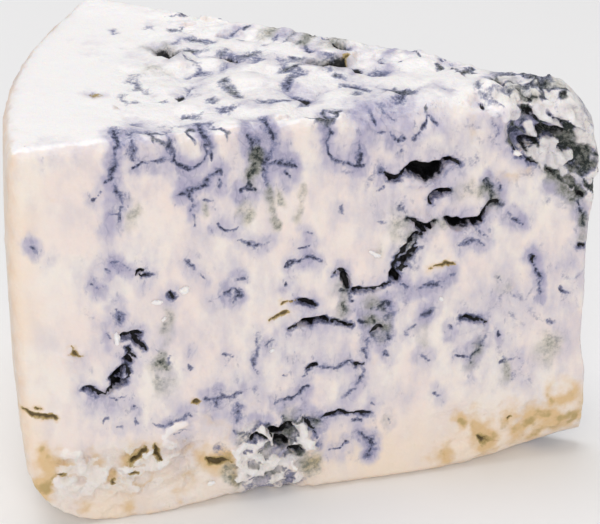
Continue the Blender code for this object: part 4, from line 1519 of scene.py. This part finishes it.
class CheeseSizes(bpy.types.PropertyGroup):
    drum_radius: bpy.props.FloatProperty(
        name="Drum radius", description="Radius of the whole cheese", default=0.1, unit="LENGTH"
    )
    wedge_angle: bpy.props.FloatProperty(
        name="Wedge angle",
        description="Angle between the two cuts",
        default=math.radians(38),
        subtype="ANGLE",
    )
    height: bpy.props.FloatProperty(
        name="Height",
        description="From the flat rind to the cut top",
        default=HIGHEST.z - LOWEST.z,
        unit="LENGTH",
    )
    heel_bulge: bpy.props.FloatProperty(
        name="Heel bulge", description="How far the rind swells at half height", default=0.0013, unit="LENGTH"
    )
    foot_rounding: bpy.props.FloatProperty(
        name="Foot rounding", description="Radius where the rind turns under", default=0.0135, unit="LENGTH"
    )
    crown_rounding: bpy.props.FloatProperty(
        name="Crown rounding",
        description="Radius where the rind meets the top",
        default=0.0022,
        unit="LENGTH",
    )
    most_triangles: bpy.props.IntProperty(
        name="Most triangles", description="The body is thinned to this many", default=195000, min=20000
    )


def colour_property(name, description, code):
    return bpy.props.FloatVectorProperty(
        name=name, description=description, default=hex_colour(code), size=4, min=0, max=1, subtype="COLOR"
    )


class CheeseColours(bpy.types.PropertyGroup):
    paste: colour_property("Paste", "Clean paste", "#F1EAE3")
    paste_pink: colour_property("Pink paste", "Paste with the faint blush of moist fat", "#EFE2DC")
    paste_grey: colour_property("Grey paste", "Paste just over hidden mould", "#DDD4D6")
    fresh: colour_property("Fresh paste", "Paste torn open, whiter than the cut face", "#F8F4F1")
    paste_warm: colour_property("Warm paste", "Riper paste near the rind", "#F3E3D1")
    rind: colour_property("Rind", "The thin, washed rind", "#EBD3BB")
    haze: colour_property("Blue haze", "Mould just under the surface", "#CAC5D2")
    lavender: colour_property("Lavender", "Mould showing through beside a vein", "#A09BBB")
    mould_pale: colour_property("Pale mould", "Mould thinly spread", "#777C9F")
    green_pale: colour_property("Pale green mould", "Greener mould thinly spread", "#74786F")
    mould_blue: colour_property("Blue mould", "Mould in a vein", "#373C52")
    mould_green: colour_property("Green mould", "Older, greener mould", "#2F3735")
    green_stain: colour_property("Green stain", "Paste stained by green mould", "#AAA993")
    gold: colour_property("Gold stain", "Paste turned amber", "#DFC194")
    old_gold: colour_property("Old gold", "Golden-brown mould, thinly spread", "#B59E68")
    gilt: colour_property("Gilt split", "The bottom of a golden-brown split", "#5F4E2B")
    # Painted shade: near black, standing in for the shadow deep inside an open split.
    hollow: colour_property("Hollow", "The dark lining of an open split", "#0B0B0E")


class CHEESE_OT_body(bpy.types.Operator):
    """Build the wedge itself"""

    bl_idname = "cheese.body"
    bl_label = "Cheese body"
    bl_options = {"REGISTER", "UNDO"}

    def execute(self, context):
        scene = context.scene
        body = build_wedge(scene.cheese_sizes)
        colours = {name: getattr(scene.cheese_colours, name)[:] for name in CheeseColours.__annotations__}
        body.data.materials.append(cheese_material(colours))
        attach(body, BODY)
        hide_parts("cheese_wedge")
        return {"FINISHED"}


class CHEESE_OT_crumbs(bpy.types.Operator):
    """Build the loose crumbs stuck to the front cut"""

    bl_idname = "cheese.crumbs"
    bl_label = "Crumbs"
    bl_options = {"REGISTER", "UNDO"}

    def execute(self, context):
        scene = context.scene
        body = bpy.data.objects.get("cheese_body")
        if body is None:
            raise RuntimeError("the cheese body has to be built before its crumbs")
        wedge = Wedge(scene.cheese_sizes)
        crumbs = build_crumbs(wedge, body)
        crumbs.data.materials.append(body.data.materials[0])
        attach(crumbs, BODY)
        return {"FINISHED"}


class CHEESE_OT_stage(bpy.types.Operator):
    """Build the floor, the lights and the camera"""

    bl_idname = "cheese.stage"
    bl_label = "Studio"
    bl_options = {"REGISTER", "UNDO"}

    def execute(self, context):
        scene = context.scene
        build_floor(scene)
        light_studio(scene)
        place_camera(scene)
        scene.view_settings.view_transform = "Standard"
        return {"FINISHED"}


class CHEESE_PT_panel(bpy.types.Panel):
    """Sizes, colours and the steps that build the cheese"""

    bl_idname = "CHEESE_PT_panel"
    bl_label = "Blue cheese wedge"
    bl_space_type = "VIEW_3D"
    bl_region_type = "UI"
    bl_category = "Cheese"

    def draw(self, context):
        column = self.layout.column()
        for group in (context.scene.cheese_sizes, context.scene.cheese_colours):
            for name in type(group).__annotations__:
                column.prop(group, name)
        column.operator(CHEESE_OT_body.bl_idname)
        column.operator(CHEESE_OT_crumbs.bl_idname)
        column.operator(CHEESE_OT_stage.bl_idname)


CLASSES = (CheeseSizes, CheeseColours, CHEESE_OT_body, CHEESE_OT_crumbs, CHEESE_OT_stage, CHEESE_PT_panel)


def register():
    for cls in CLASSES:
        bpy.utils.register_class(cls)
    bpy.types.Scene.cheese_sizes = bpy.props.PointerProperty(type=CheeseSizes)
    bpy.types.Scene.cheese_colours = bpy.props.PointerProperty(type=CheeseColours)


def unregister():
    del bpy.types.Scene.cheese_colours
    del bpy.types.Scene.cheese_sizes
    for cls in reversed(CLASSES):
        bpy.utils.unregister_class(cls)


def main():
    register()
    bpy.ops.cheese.body()
    bpy.ops.cheese.crumbs()
    bpy.ops.cheese.stage()


if __name__ == "__main__":
    main()
